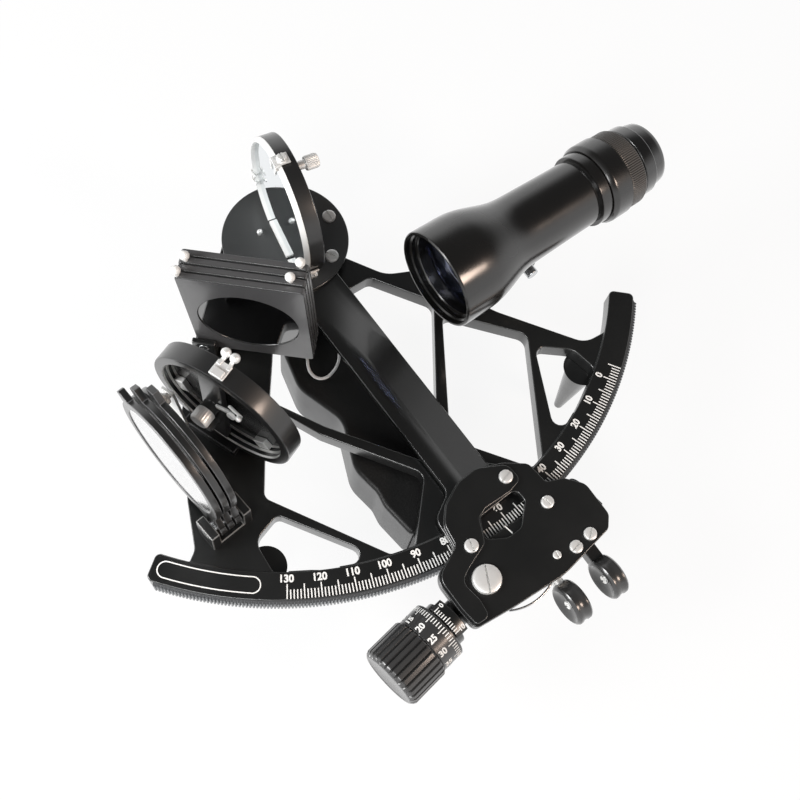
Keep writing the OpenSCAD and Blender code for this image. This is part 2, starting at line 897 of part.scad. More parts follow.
module arbor() {
    color(steel)
    union() {
        translate([0, 0, frame_back - nut_h])
            cylinder(r = shaft_r, h = arm_top - frame_back + nut_h, $fn = 96);
        translate([0, 0, frame_back - nut_h])
            cylinder(r = shaft_r + 3, h = nut_h - face_gap, $fn = 96);
    }
}

module mirror_disc() {
    color(black)
    translate([0, 0, arm_top])
        cylinder(r = disc_r, h = disc_t, $fn = 128);
}

module index_place() {
    facing(index_az)
        children();
}

index_seat = disc_top - sight_z + 1.4;

module index_mirror_ring() {
    back = index_front - index_ring_t;
    color(black)
    index_place()
    union() {
        intersection() {
            translate([0, sight_z - 1.4, back])
                difference() {
                    cylinder(r = index_ring_r, h = index_ring_t, $fn = 128);
                    translate([0, 0, index_ring_t - mirror_t - 0.1])
                        cylinder(r = index_ring_r - mirror_rim, h = mirror_t + 1, $fn = 128);
                }
            translate([-50, disc_top, back - 1])
                cube([100, 80, index_ring_t + 2]);
        }
        translate([-11, disc_top, back - 7])
            cube([22, 4, 8]);
    }
}

module index_mirror_glass() {
    color(mirror_white)
    index_place()
        translate([0, sight_z - 1.4, index_front - mirror_t - 0.1])
            intersection() {
                cylinder(r = index_ring_r - mirror_rim - 0.1, h = mirror_t, $fn = 128);
                translate([-50, index_seat + 0.4, -1])
                    cube([100, 80, 10]);
            }
}

module index_mirror_clips() {
    color(steel)
    index_place()
        translate([0, sight_z - 1.4, index_front - index_ring_t])
            for (a = [-26, 86, 196])
                rim_clip(index_ring_r, index_ring_t, a, clip_w);
}

module index_mirror_adjuster() {
    color(steel)
    index_place()
        translate([2, sight_z + index_ring_r - 9, index_front - index_ring_t - 10])
            union() {
                cylinder(r = 3.4, h = 6, $fn = 48);
                cylinder(r = 2, h = 10, $fn = 48);
            }
}

// Outlines of the arm's end, its cover and the raised plate, measured from the scale's outer edge below the pivot
end_outline = [
    [27.6, 16, 4], [29, 5.4, 2], [36.4, 2.6, 6], [42.8, -4.6, 6], [42.8, -20.5, 4], [38.5, -25.4, 4],
    [12, -30, 20], [-12, -29, 20], [-32.6, -27.2, 3], [-33.8, -18, 20], [-34.2, -1.6, 7], [-20.2, 3.6, 3],
];
flare_outline = [[-19, 18.5, 6], [-8.2, 25, 5], [-8, 34, 0], [13, 34, 0], [12.9, 26.8, 5], [18.4, 22.4, 4]];
top_outline = [[-19, 14, 8], [-13, 21, 6], [-3, 26, 10], [6, 26.6, 10], [18.4, 22.4, 6]];
raised_outline = [
    [-18.4, 14, 8], [-13, 20.4, 6], [-3, 25.4, 10], [7, 26.2, 10], [19.2, 20.4, 5], [20, 12, 3],
    [13, 10.2, 0], [0, 10.2, 0], [-4.8, 8.2, 2], [-9, -1.6, 4], [-21, -6.4, 8], [-26.2, -9.2, 4],
    [-24.4, -19, 12], [-25.2, -26.4, 2.5], [-31.6, -26.2, 2], [-32.8, -18, 20], [-33.2, -2.4, 6.5],
    [-19.6, 4.2, 3],
];
window_outline = [[-3.4, 8.6, 2], [16.2, 10, 3], [16.4, 3.6, 3], [8, -4.4, 4], [1, -4.8, 4], [-7.8, 0, 2.5]];
ledge_outline = [[-5.4, 9.8, 2], [17.6, 11.2, 3], [17.8, -0.4, 1], [-10, -0.4, 1]];

module from_arc(z) {
    translate([0, -arc_r, z])
        children();
}

module index_arm() {
    head_r = 24;
    low_y = -arc_r + 24;
    color(black)
    difference() {
        translate([0, 0, arm_z])
            linear_extrude(arm_t)
                union() {
                    circle(r = head_r, $fn = 96);
                    rotate(rest_turn)
                        polygon([[-arm_w_top / 2 - arm_side, 0], [-arm_w_low / 2, low_y],
                            [arm_w_low / 2, low_y], [arm_w_top / 2 - arm_side, 0]]);
                    translate([0, -arc_r])
                        shape(concat(flare_outline, end_outline));
                }
        translate([0, 0, arm_z - 1])
            cylinder(r = shaft_r, h = arm_t + 2, $fn = 96);
        from_arc(arm_z - 1)
            linear_extrude(arm_t + 2)
                shape(ledge_outline);
        worm_place()
            translate([carrier_pivot.x, carrier_pivot.y, 0])
                cylinder(r = pivot_r, h = 20, $fn = 64);
    }
}

module cover_plate() {
    color(black)
    difference() {
        from_arc(arm_top)
            linear_extrude(cover_t)
                difference() {
                    shape(concat(top_outline, end_outline));
                    shape(window_outline);
                }
        worm_place()
            translate([carrier_pivot.x, carrier_pivot.y, 0])
                cylinder(r = pivot_r, h = 20, $fn = 64);
    }
}

module raised_plate() {
    color(black)
    difference() {
        from_arc(cover_top)
            linear_extrude(raised_t)
                shape(raised_outline);
        worm_place()
            translate([carrier_pivot.x, carrier_pivot.y, 0])
                cylinder(r = pivot_head_r + 1.2, h = 20, $fn = 64);
    }
}

// Every slotted screw on the arm; the large one is the pivot of the worm carrier
module arm_screws() {
    color(steel)
    union() {
        from_arc(raised_top)
            for (p = [[15.2, 16.3], [-14.5, 0.7]])
                translate([p.x, p.y, 0])
                    screw_head(3, 1);
        from_arc(cover_top)
            for (p = [[23.8, -2, 2.8], [30.5, -22.7, 2.8], [22.1, -23.7, 2.8], [13.3, -21.9, 1.8]])
                translate([p.x, p.y, 0])
                    screw_head(p[2], 1);
        translate([0, 0, disc_top])
            for (p = [[23.3, 0.1], [11.9, -18.5], [-7.4, 10.2]])
                translate([p.x, p.y, 0])
                    screw_head(2.4, 0.8);
        worm_place()
            translate([carrier_pivot.x, carrier_pivot.y, 0]) {
                translate([0, 0, cover_top - worm_z])
                    screw_head(pivot_head_r, 2.6, 1.2);
                translate([0, 0, pivot_foot])
                    cylinder(r = pivot_r, h = cover_top - worm_z - pivot_foot, $fn = 64);
            }
    }
}

// Micrometer: x along the worm's axis, y towards the pivot, z up

module worm_place() {
    rotate(worm_turn)
        translate([0, -worm_dist, worm_z])
            children();
}

module axle(r, from, to) {
    translate([from, 0, 0])
        rotate([0, 90, 0])
            cylinder(r = r, h = to - from, $fn = 96);
}

housing_r = worm_r - 0.2;
bar_out = 11.5;
bar_in = worm_r + 0.8;
pad_at = [[10.5, -arc_r - 40.5], [30, -arc_r - 40.8]];
stem_w = 6;
stem_end = -worm_dist * cos(worm_turn) - (bar_in + bar_out) / 2;

module moving_stem() {
    translate([pad_at[1].x - stem_w / 2, pad_at[1].y + 6, worm_z - stem_w / 2])
        cube([stem_w, stem_end - pad_at[1].y - 6, stem_w]);
}

module worm_carrier() {
    color(black)
    difference() {
        union() {
            worm_place() {
                axle(housing_r, drum_end + 0.4, -worm_half - 1);
                axle(10, drum_end + 0.4, drum_end + 4);
                axle(housing_r, worm_half + 1, worm_half + 1 + lug_t);
                translate([-worm_half - 8, -bar_out, -housing_r])
                    cube([2 * worm_half + 9 + lug_t, bar_out - bar_in, 2 * housing_r]);
                translate([-worm_half - 8, -bar_out, -housing_r])
                    cube([7, bar_out, 2 * housing_r]);
                translate([worm_half + 1, -bar_out, -housing_r])
                    cube([lug_t, bar_out, 2 * housing_r]);
            }
            moving_stem();
        }
        worm_place() {
            axle(worm_shaft_r + run_gap, drum_end - 1, worm_half + 20);
            translate([carrier_pivot.x, carrier_pivot.y, pivot_foot])
                cylinder(r = pivot_r + run_gap, h = 20, $fn = 64);
        }
    }
}

module vernier_plate() {
    half = 38;
    color(black)
    worm_place()
        difference() {
            axle(drum_r, drum_end + 0.4, drum_end + 6);
            axle(10, drum_end - 1, drum_end + 8);
            for (side = [-1, 1])
                rotate([side * half, 0, 0])
                    translate([drum_end - 1, side < 0 ? 0 : -40, -40])
                        cube([10, 40, 80]);
        }
}

module worm_shaft() {
    color(brass)
    worm_place()
    difference() {
        union() {
            axle(worm_shaft_r, knob_end - 4, worm_half + 1 + lug_t);
            axle(worm_r, -worm_half, worm_half);
        }
        for (x = [-worm_half + 0.9:1.42:worm_half - 0.9])
            translate([x, 0, 0])
                rotate([0, 90, 0])
                    rotate_extrude($fn = 64)
                        polygon([[worm_r + 1, -0.9], [worm_r - 0.7, -0.2], [worm_r - 0.7, 0.2],
                            [worm_r + 1, 0.9]]);
    }
}

module drum_and_knob() {
    color(black)
    worm_place()
    difference() {
        union() {
            axle(drum_r, drum_end - drum_l, drum_end);
            translate([drum_end - drum_l - knob_l, 0, 0])
                rotate([0, 90, 0])
                    linear_extrude(knob_l)
                        polygon([for (i = [0:flutes - 1], k = [0:3])
                            polar(knob_r - (k == 0 || k == 3 ? 0.8 : 0),
                                (i + [0.1, 0.24, 0.76, 0.9][k]) * 360 / flutes)]);
        }
        axle(worm_shaft_r, drum_end - drum_l - knob_l + 3, drum_end + 1);
    }
}

// Finger pad with its axis along X, held by a stem from behind the plate
module finger_pad(at) {
    translate([at.x - pad_t / 2, at.y, worm_z])
        rotate([90, 0, 90])
            rotate_extrude($fn = 96)
                polygon([[0, 0.6], [pad_r * 0.55, 0.6], [pad_r * 0.6, 0], [pad_r - 1, 0], [pad_r, 1],
                    [pad_r, pad_t - 1], [pad_r - 1, pad_t], [pad_r * 0.6, pad_t],
                    [pad_r * 0.55, pad_t - 0.6], [0, pad_t - 0.6]]);
}

module moving_finger_pad() {
    color(rubber)
    difference() {
        finger_pad(pad_at[1]);
        moving_stem();
    }
}

module fixed_finger_pad() {
    at = pad_at[0];
    color(rubber)
    union() {
        finger_pad(at);
        translate([at.x - stem_w / 2, at.y + 6, worm_z - stem_w / 2])
            cube([stem_w, 9.7, stem_w]);
        translate([at.x - stem_w / 2, at.y + 12, worm_z - stem_w / 2])
            cube([stem_w, 3.7, arm_z - worm_z + stem_w / 2]);
    }
}

module release_spring() {
    bow_r = 24;
    color(steel)
    translate([-3, -arc_r - 7.6, worm_z + 3])
        rotate(-119)
            rotate_extrude(angle = 54.3, $fn = 120)
                translate([bow_r, 0])
                    circle(r = 0.5, $fn = 16);
}

frame();
rack();
pivot_bush();
bearing_cap();
upper_leg();
lower_legs();
handle_shell();
handle_cap();
handle_posts();
battery_cells();
lamp_button();
lead();
telescope_bracket();
telescope_tube();
objective_ring();
objective_lens();
focus_ring();
eyepiece_tube();
eyepiece_lens();
eyecup();
telescope_clamp();
horizon_mirror_base();
horizon_mirror_ring();
horizon_mirror_glass();
horizon_mirror_clips();
horizon_mirror_adjuster();
horizon_shade_bracket();
horizon_shade_1();
horizon_shade_2();
horizon_shade_3();
horizon_glass_1();
horizon_glass_2();
horizon_glass_3();
index_shade_bracket();
index_shade_1();
index_shade_2();
index_shade_3();
index_shade_4();
index_glass_1();
index_glass_2();
index_glass_3();
index_glass_4();
shade_pins();
arbor();
mirror_disc();
index_mirror_ring();
index_mirror_glass();
index_mirror_clips();
index_mirror_adjuster();
index_arm();
cover_plate();
raised_plate();
arm_screws();
fixed_finger_pad();
release_spring();
worm_carrier();
vernier_plate();
moving_finger_pad();
worm_shaft();
drum_and_knob();
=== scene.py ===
import math

import bmesh
import bpy
from mathutils import Matrix, Vector


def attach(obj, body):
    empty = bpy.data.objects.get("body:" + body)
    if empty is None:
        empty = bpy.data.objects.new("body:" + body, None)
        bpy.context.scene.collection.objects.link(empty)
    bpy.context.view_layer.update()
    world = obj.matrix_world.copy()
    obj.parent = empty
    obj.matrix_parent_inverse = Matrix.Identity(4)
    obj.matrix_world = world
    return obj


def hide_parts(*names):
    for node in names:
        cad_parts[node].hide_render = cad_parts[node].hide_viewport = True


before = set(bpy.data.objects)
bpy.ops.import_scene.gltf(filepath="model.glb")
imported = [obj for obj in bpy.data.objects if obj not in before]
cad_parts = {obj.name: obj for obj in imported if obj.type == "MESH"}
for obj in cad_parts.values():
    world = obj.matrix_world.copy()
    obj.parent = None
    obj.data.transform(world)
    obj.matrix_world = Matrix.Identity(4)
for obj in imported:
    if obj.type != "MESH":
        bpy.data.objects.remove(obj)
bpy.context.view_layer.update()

# Camera. It looks down on the scale face from the arc's left side, as in the photograph. Its place and axes
# were fitted to the marks of the scale, in metres.
CAMERA_AT = (-0.12976, -0.20372, 0.47110)
CAMERA_RIGHT = Vector((0.81431, -0.57178, 0.09981))
CAMERA_UP = Vector((0.50324, 0.78119, 0.36944))
eye = bpy.data.cameras.new("camera")
eye.sensor_width = 36
eye.lens = 46.54
camera = bpy.data.objects.new("camera", eye)
bpy.context.scene.collection.objects.link(camera)
turn = Matrix((CAMERA_RIGHT, CAMERA_UP, CAMERA_RIGHT.cross(CAMERA_UP))).transposed().to_4x4()
camera.matrix_world = Matrix.Translation(CAMERA_AT) @ turn
bpy.context.scene.camera = camera
bpy.context.scene.view_settings.view_transform = "Standard"

# Table top and studio. A plain white sheet under the instrument keeps a faint shadow and runs on into a
# white surround. A large window lamp stands at the left, with a weaker one higher up in front of it and a
# small warm one at the right.


def hex_colour(text):
    """Linear colour of an sRGB hex value."""
    parts = [int(text[i:i + 2], 16) / 255 for i in (0, 2, 4)]
    return [c / 12.92 if c <= 0.04045 else ((c + 0.055) / 1.055) ** 2.4 for c in parts] + [1.0]


def add_node(tree, kind, sockets=None, feeds=None, **settings):
    """Adds a node with its settings and links.

    sockets holds a value, a node or one of its outputs for each input, and feeds is the input of another
    node that takes the result.
    """
    made = tree.nodes.new(kind)
    for name, value in settings.items():
        setattr(made, name, value)
    for name, value in (sockets or {}).items():
        if isinstance(value, bpy.types.Node):
            value = value.outputs[0]
        if isinstance(value, bpy.types.NodeSocket):
            tree.links.new(value, made.inputs[name])
        else:
            made.inputs[name].default_value = value
    if feeds is not None:
        tree.links.new(made.outputs[0], feeds)
    return made


def cleared_tree(owner):
    """The node tree of a material or world, with nothing in it."""
    owner.use_nodes = True
    owner.node_tree.nodes.clear()
    return owner.node_tree


def seen_rays(tree):
    """The light path, and 1 for the rays that show a surface: straight, mirrored or through glass."""
    path = add_node(tree, "ShaderNodeLightPath")
    seen = path.outputs["Is Camera Ray"]
    for kind in ("Is Glossy Ray", "Is Transmission Ray"):
        seen = add_node(tree, "ShaderNodeMath", {0: seen, 1: path.outputs[kind]}, operation="MAXIMUM")
    return path, seen


SHEET_GLOW = 0.9
bm = bmesh.new()
bmesh.ops.create_grid(bm, x_segments=1, y_segments=1, size=4)
sheet_mesh = bpy.data.meshes.new("white_sheet")
bm.to_mesh(sheet_mesh)
bm.free()
white_sheet = bpy.data.objects.new("white_sheet", sheet_mesh)
bpy.context.scene.collection.objects.link(white_sheet)
paper = bpy.data.materials.new("white_paper")
tree = cleared_tree(paper)
seen = seen_rays(tree)[1]
share = add_node(tree, "ShaderNodeMath", {0: seen, 1: SHEET_GLOW}, operation="MULTIPLY")
matt = add_node(tree, "ShaderNodeBsdfDiffuse", {"Color": hex_colour("f4f4f4")})
glow = add_node(tree, "ShaderNodeEmission", {"Color": (1, 1, 1, 1), "Strength": 1.0})
both = add_node(tree, "ShaderNodeMixShader", {0: share, 1: matt, 2: glow})
add_node(tree, "ShaderNodeOutputMaterial", {"Surface": both})
sheet_mesh.materials.append(paper)

# The surround is white, but gloss sees a dim ceiling above the walls except on the window's side, and matt
# surfaces get the same fill from all round. The spans are parts of a direction of length 1: how far it
# points up, and how far to the right.
WALL_ENDS, CEILING = (0.3, 0.62), 0.1
WINDOW_SIDE = (-0.3, -0.75)
FILL = 0.22
world = bpy.data.worlds.new("studio")
bpy.context.scene.world = world
tree = cleared_tree(world)
path, seen = seen_rays(tree)
way = add_node(tree, "ShaderNodeTexCoord").outputs["Generated"]
parts = add_node(tree, "ShaderNodeSeparateXYZ", {"Vector": way})
wall = add_node(tree, "ShaderNodeMapRange", {"Value": parts.outputs["Z"], "From Min": WALL_ENDS[0],
                                             "From Max": WALL_ENDS[1], "To Min": 1.0, "To Max": CEILING})
window = add_node(tree, "ShaderNodeMapRange", {"Value": parts.outputs["X"], "From Min": WINDOW_SIDE[0],
                                               "From Max": WINDOW_SIDE[1], "To Min": 0.0, "To Max": 1.0})
room = add_node(tree, "ShaderNodeMath", {0: wall, 1: window}, operation="MAXIMUM")
room = add_node(tree, "ShaderNodeMath", {0: room, 1: path.outputs["Is Camera Ray"]}, operation="MAXIMUM")
fill = add_node(tree, "ShaderNodeBackground", {"Color": hex_colour("f2f4f7"), "Strength": FILL})
white = add_node(tree, "ShaderNodeBackground", {"Color": (1, 1, 1, 1), "Strength": room})
both = add_node(tree, "ShaderNodeMixShader", {0: seen, 1: fill, 2: white})
add_node(tree, "ShaderNodeOutputWorld", {"Surface": both})

LIT_POINT = Vector((0, -0.08, 0.05))
for name, place, size, tint, watts in (
        ("window_lamp", (-0.95, 0.25, 0.6), 0.55, "ffffff", 14),
        ("left_lamp", (-0.75, -0.6, 1.0), 0.5, "ffffff", 7),
        ("warm_lamp", (0.45, -0.86, 0.8), 0.3, "ffe6d4", 4.8)):
    lamp = bpy.data.lights.new(name, "AREA")
    lamp.shape = "DISK"
    lamp.size = size
    lamp.energy = watts
    lamp.color = hex_colour(tint)[:3]
    stand = bpy.data.objects.new(name, lamp)
    bpy.context.scene.collection.objects.link(stand)
    stand.location = place
    stand.rotation_mode = "QUATERNION"
    stand.rotation_quaternion = (LIT_POINT - Vector(place)).to_track_quat("-Z", "Y")

# Frame. A cast aluminium web with a raised limb, sprayed with satin black enamel and baked; its edges
# are eased by hand, so the enamel is thin there and shows a little of the metal; they are also painted a
# lighter grey as a painted highlight.
MM = 0.001


def new_surface(name, colour, rough, metallic=0.0, **sockets):
    """A material with one shader, whose other inputs are named with _ for a space.

    Returns it, its tree, the shader's inputs and the object's own coordinates.
    """
    made = bpy.data.materials.new(name)
    tree = cleared_tree(made)
    values = {"Base Color": hex_colour(colour), "Roughness": rough, "Metallic": metallic}
    values.update({key.replace("_", " "): value for key, value in sockets.items()})
    shader = add_node(tree, "ShaderNodeBsdfPrincipled", values)
    add_node(tree, "ShaderNodeOutputMaterial", {"Surface": shader})
    coords = add_node(tree, "ShaderNodeTexCoord").outputs["Object"]
    return made, tree, shader.inputs, coords


def sprayed_enamel(name, colour, rough, speckle_mm=0.45, lift=0.35, coat=0.8):
    """Baked enamel: a fine orange peel, with the gloss a little uneven over a few centimetres."""
    made, tree, inputs, coords = new_surface(name, colour, rough, Coat_Weight=coat, Coat_Roughness=0.18)
    peel = add_node(tree, "ShaderNodeTexNoise", {"Vector": coords, "Scale": 1 / (speckle_mm * MM),
                                                 "Detail": 2.0})
    add_node(tree, "ShaderNodeBump", {"Height": peel, "Strength": lift, "Distance": 0.04 * MM},
             inputs["Normal"])
    cloud = add_node(tree, "ShaderNodeTexNoise", {"Vector": coords, "Scale": 1 / (25 * MM), "Detail": 3.0})
    add_node(tree, "ShaderNodeMapRange", {"Value": cloud, "From Min": 0.3, "From Max": 0.7,
                                          "To Min": rough - 0.05, "To Max": rough + 0.07},
             inputs["Roughness"])
    return made


def copied(*nodes, whole=True):
    """A bmesh of the CAD nodes' shapes with doubles merged and, if whole, flat faces made one."""
    bm = bmesh.new()
    for n in nodes:
        bm.from_mesh(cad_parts[n].data)
    bmesh.ops.remove_doubles(bm, verts=bm.verts, dist=0.000002)
    if whole:
        bmesh.ops.dissolve_limit(bm, angle_limit=math.radians(0.4), verts=bm.verts, edges=bm.edges)
    return bm


def ease(bm, width, slot=0, angle=35, segments=2):
    """Rounds every sharp edge of bm by width in mm, and gives the rounding the material of that slot."""
    sharp = [e for e in bm.edges if len(e.link_faces) == 2 and e.calc_face_angle() > math.radians(angle)]
    made = bmesh.ops.bevel(bm, geom=sharp, offset=width * MM, offset_type="OFFSET", affect="EDGES",
                           segments=segments, profile=0.5, material=-1, clamp_overlap=False)
    for f in made["faces"]:
        f.material_index = slot
    return bm


def finished(bm, name, body, surfaces, nodes=(), smooth=35):
    """Makes the piece from bm, gives it its materials, and sets it on its body in place of the CAD nodes."""
    mesh = bpy.data.meshes.new(name)
    bm.to_mesh(mesh)
    bm.free()
    for s in surfaces:
        mesh.materials.append(s)
    mesh.shade_smooth()
    mesh.set_sharp_from_angle(angle=math.radians(smooth))
    piece = bpy.data.objects.new(name, mesh)
    bpy.context.scene.collection.objects.link(piece)
    piece.modifiers.new("flat_faces_stay_flat", "WEIGHTED_NORMAL").keep_sharp = True
    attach(piece, body)
    if nodes:
        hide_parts(*nodes)


def eased_node(node, name, body, surfaces, slot, width, whole=True, **easing):
    """One CAD node with its edges rounded; the last of its surfaces goes on the rounding."""
    bm = ease(copied(node, whole=whole), width, len(surfaces) - 1, **easing)
    finished(bm, name, body, surfaces, [node])


enamel = sprayed_enamel("satin_black_enamel", "0f1010", 0.34)
# The enamel on eased edges is a lighter grey: thin enamel, and a painted highlight along the edges.
worn_and_lit_edge_enamel = sprayed_enamel("enamel_edges_worn_and_painted_lighter", "262727", 0.26, 0.3, 0.5)
eased_node("frame", "frame_casting", "frame", [enamel, worn_and_lit_edge_enamel], "black_paint", 0.5, whole=False)

# Rack. Fine teeth cut straight into the bare rim of the limb by a milling cutter, which leaves the metal
# bright with marks across each tooth, drawn coarser than they are so that they show. The metal's grey is
# darkened as painted shade of the gaps between the teeth.
milled, tree, inputs, coords = new_surface("milled_aluminium", "8f9193", 0.42, 1.0)
marks = add_node(tree, "ShaderNodeTexWave", {"Vector": coords, "Scale": 1 / (1.1 * MM), "Distortion": 2.0,
                                             "Detail": 1.0}, bands_direction="Z")
add_node(tree, "ShaderNodeBump", {"Height": marks, "Strength": 0.25, "Distance": 0.03 * MM}, inputs["Normal"])
finished(copied("rack"), "rack_teeth", "frame", [milled], ["rack"], 20)

# Scale. Lines and numbers cut in the enamel of the limb and filled with white paint, chalky when dry: one
# line for each degree read, a longer one each five, and a number each ten.


def pale_surface(name, colour, rough, grain_mm, darker, lighter, **sockets):
    """Paint or plastic that is nearly white, a little darker and lighter in grains of that width."""
    made, tree, inputs, coords = new_surface(name, colour, rough, **sockets)
    grain = add_node(tree, "ShaderNodeTexNoise", {"Vector": coords, "Scale": 1 / (grain_mm * MM),
                                                  "Detail": 2.0})
    add_node(tree, "ShaderNodeMixRGB", {"Fac": grain, "Color1": hex_colour(darker),
                                        "Color2": hex_colour(lighter)}, inputs["Base Color"])
    return made


filler = pale_surface("white_filling_paint", "f1f1ee", 0.6, 0.4, "e4e4e1", "fbfbf8")
PAINT = 0.04
MARK_WIDTH, NUMBER_HEIGHT = 0.5, 3.3
FIRST_READING, LAST_READING = -5, 130
ARC_R = 162.0
LONG_MARK_R, SHORT_MARK_R, NUMBER_R = 156.0, 158.2, 153.7
FACE_Z = 56.0


def scale_angle(degrees):
    """Angle about the pivot of a mark that reads so many degrees."""
    return math.radians(-90 - (degrees - 65) / 2)


def painted_turn(across, normal):
    """A turn that lays x across and z along the normal of a surface."""
    x, z = Vector(across).normalized(), Vector(normal).normalized()
    return Matrix((x, z.cross(x), z)).transposed().to_4x4()


def line(bm, start, end, width, normal=(0, 0, 1)):
    """A painted line between two points in mm, so wide, on a surface with that normal."""
    a, b = Vector(start), Vector(end)
    size = Matrix.Diagonal(((b - a).length * MM, width * MM, 2 * PAINT * MM, 1))
    place = Matrix.Translation((a + b) / 2 * MM) @ painted_turn(b - a, normal)
    bmesh.ops.create_cube(bm, size=1, matrix=place @ size)


def number(bm, text, height, centre, across, normal, stretch=1.0):
    """A painted number in mm, centred on a point; across is its reading direction."""
    curve = bpy.data.curves.new("number", "FONT")
    curve.body = text
    curve.size = 1
    curve.offset = 0.035
    curve.fill_mode = "BOTH"
    curve.extrude = 0.5
    form = bpy.data.objects.new("number", curve)
    mesh = bpy.data.meshes.new_from_object(form)
    low = [min(v.co[i] for v in mesh.vertices) for i in range(3)]
    high = [max(v.co[i] for v in mesh.vertices) for i in range(3)]
    unit = height / (high[1] - low[1])
    size = Matrix.Diagonal((unit * stretch * MM, unit * MM, 2 * PAINT * MM, 1))
    shift = Matrix.Translation([-(low[i] + high[i]) / 2 for i in range(3)])
    mesh.transform(Matrix.Translation(Vector(centre) * MM) @ painted_turn(across, normal) @ size @ shift)
    bm.from_mesh(mesh)
    bpy.data.objects.remove(form)
    bpy.data.meshes.remove(mesh)
    bpy.data.curves.remove(curve)


bm = bmesh.new()
face = Vector((0, 0, FACE_Z))
for degrees in range(FIRST_READING, LAST_READING + 1):
    a = scale_angle(degrees)
    out = Vector((math.cos(a), math.sin(a), 0))
    inner = SHORT_MARK_R if degrees % 5 else LONG_MARK_R
    line(bm, out * inner + face, out * ARC_R + face, MARK_WIDTH)
    if degrees % 10 == 0:
        number(bm, str(degrees), NUMBER_HEIGHT, out * NUMBER_R + face, (-out.y, out.x, 0), (0, 0, 1),
               stretch=0.95)
finished(bm, "limb_scale", "frame", [filler])

# Bare label. A plain oval outline in the same white paint on the left end of the limb, bent along it,
# with nothing inside it.
LABEL_R = 156.6
LABEL_MIDDLE = scale_angle(153)
LABEL_STRAIGHT = 17.5
LABEL_EDGE = (3.6, 3.1)
bm = bmesh.new()
for radius in LABEL_EDGE:
    for v in bmesh.ops.create_circle(bm, segments=40, radius=radius)["verts"]:
        v.co.x += math.copysign(LABEL_STRAIGHT, v.co.x)
bmesh.ops.subdivide_edges(bm, edges=[e for e in bm.edges if e.calc_length() > 5], cuts=15)
bmesh.ops.bridge_loops(bm, edges=bm.edges)
for v in bm.verts:
    a = LABEL_MIDDLE - v.co.x / LABEL_R
    v.co = Vector(((LABEL_R + v.co.y) * math.cos(a), (LABEL_R + v.co.y) * math.sin(a), FACE_Z + PAINT)) * MM
bmesh.ops.recalc_face_normals(bm, faces=bm.faces)
finished(bm, "label_outline", "frame", [filler])

# Legs and bearing. Turned posts in the same enamel, screwed to the back of the frame, and the pivot's bush
# and shaft in bare metal with the fine rings that a lathe leaves.
for n in ("bearing_cap", "upper_leg", "lower_legs"):
    eased_node(n, n + "_turned", "frame", [enamel, worn_and_lit_edge_enamel], "black_paint", 0.4, angle=50)


def turned_metal(name, colour, rough, pitch_mm=0.25, metallic=1.0):
    """Metal from the lathe: bright, with the tool's fine rings drawn a little coarse so that they show."""
    made, tree, inputs, coords = new_surface(name, colour, rough, metallic)
    rings = add_node(tree, "ShaderNodeTexNoise", {"Vector": coords, "Scale": 1 / (pitch_mm * MM),
                                                  "Detail": 3.0})
    add_node(tree, "ShaderNodeBump", {"Height": rings, "Strength": 0.2, "Distance": 0.03 * MM},
             inputs["Normal"])
    add_node(tree, "ShaderNodeMapRange", {"Value": rings, "To Min": rough - 0.06, "To Max": rough + 0.08},
             inputs["Roughness"])
    return made


steel = turned_metal("turned_bright_steel", "d2d4d6", 0.24)
brass = turned_metal("turned_brass", "b08d4e", 0.3)
eased_node("pivot_bush", "pivot_bush_turned", "frame", [brass], "brass", 0.3)
eased_node("arbor", "arbor_turned", "index_arm", [steel], "bright_steel", 0.3)

# Handle. Two moulded halves of black ABS with finger grooves, pebbled by the mould on the outside and
# smoother on the wall of the opening, on two steel posts; the lamp's cells and its rubber button are in it.
# Its upright walls, all but those facing +x, are a lighter grey: painted light from the lamps on the left.
abs_skin, tree, inputs, coords = new_surface("moulded_abs", "161616", 0.42)
pebbles = add_node(tree, "ShaderNodeTexVoronoi", {"Vector": coords, "Scale": 1 / (1.1 * MM),
                                                  "Randomness": 0.9}, feature="SMOOTH_F1")
add_node(tree, "ShaderNodeBump", {"Height": pebbles, "Strength": 0.5, "Distance": 0.12 * MM},
         inputs["Normal"])
lit_abs_wall, tree, inputs, coords = new_surface("abs_wall_painted_lighter", "3e3f40", 0.42, Coat_Weight=0.3)
flow = add_node(tree, "ShaderNodeTexNoise", {"Vector": coords, "Scale": 1 / (11 * MM), "Detail": 3.0})
add_node(tree, "ShaderNodeMapRange", {"Value": flow, "To Min": 0.36, "To Max": 0.5}, inputs["Roughness"])


def painted(bm, slot, test):
    """Gives a slot's material to the faces of bm that pass a test of their centre in mm and their normal."""
    for f in bm.faces:
        if test(f.calc_center_median() / MM, f.normal):
            f.material_index = slot
    return bm


grip = ease(copied("handle_shell"), 2.2, segments=4)
# Upright faces that do not face +x, away from the lamps on the left, take the lighter grey: painted light.
painted(grip, 1, lambda c, n: abs(n.z) < 0.3 and n.x < 0.2)
finished(grip, "handle_grip", "frame", [abs_skin, lit_abs_wall], ["handle_shell"])
eased_node("handle_cap", "handle_end_cap", "frame", [abs_skin], "handle_plastic", 0.8)
eased_node("handle_posts", "handle_posts_turned", "frame", [steel], "bright_steel", 0.4)
eased_node("battery_cells", "battery_cells_wrapped", "frame", [steel], "bright_steel", 0.4)

# The button is dull rubber with a fine grain from its mould.
rubber, tree, inputs, coords = new_surface("moulded_rubber", "181818", 0.5)
grain = add_node(tree, "ShaderNodeTexNoise", {"Vector": coords, "Scale": 1 / (0.67 * MM), "Detail": 3.0})
add_node(tree, "ShaderNodeBump", {"Height": grain, "Strength": 0.3, "Distance": 0.05 * MM}, inputs["Normal"])
eased_node("lamp_button", "lamp_button_cap", "lamp_button", [rubber], "rubber", 0.6)

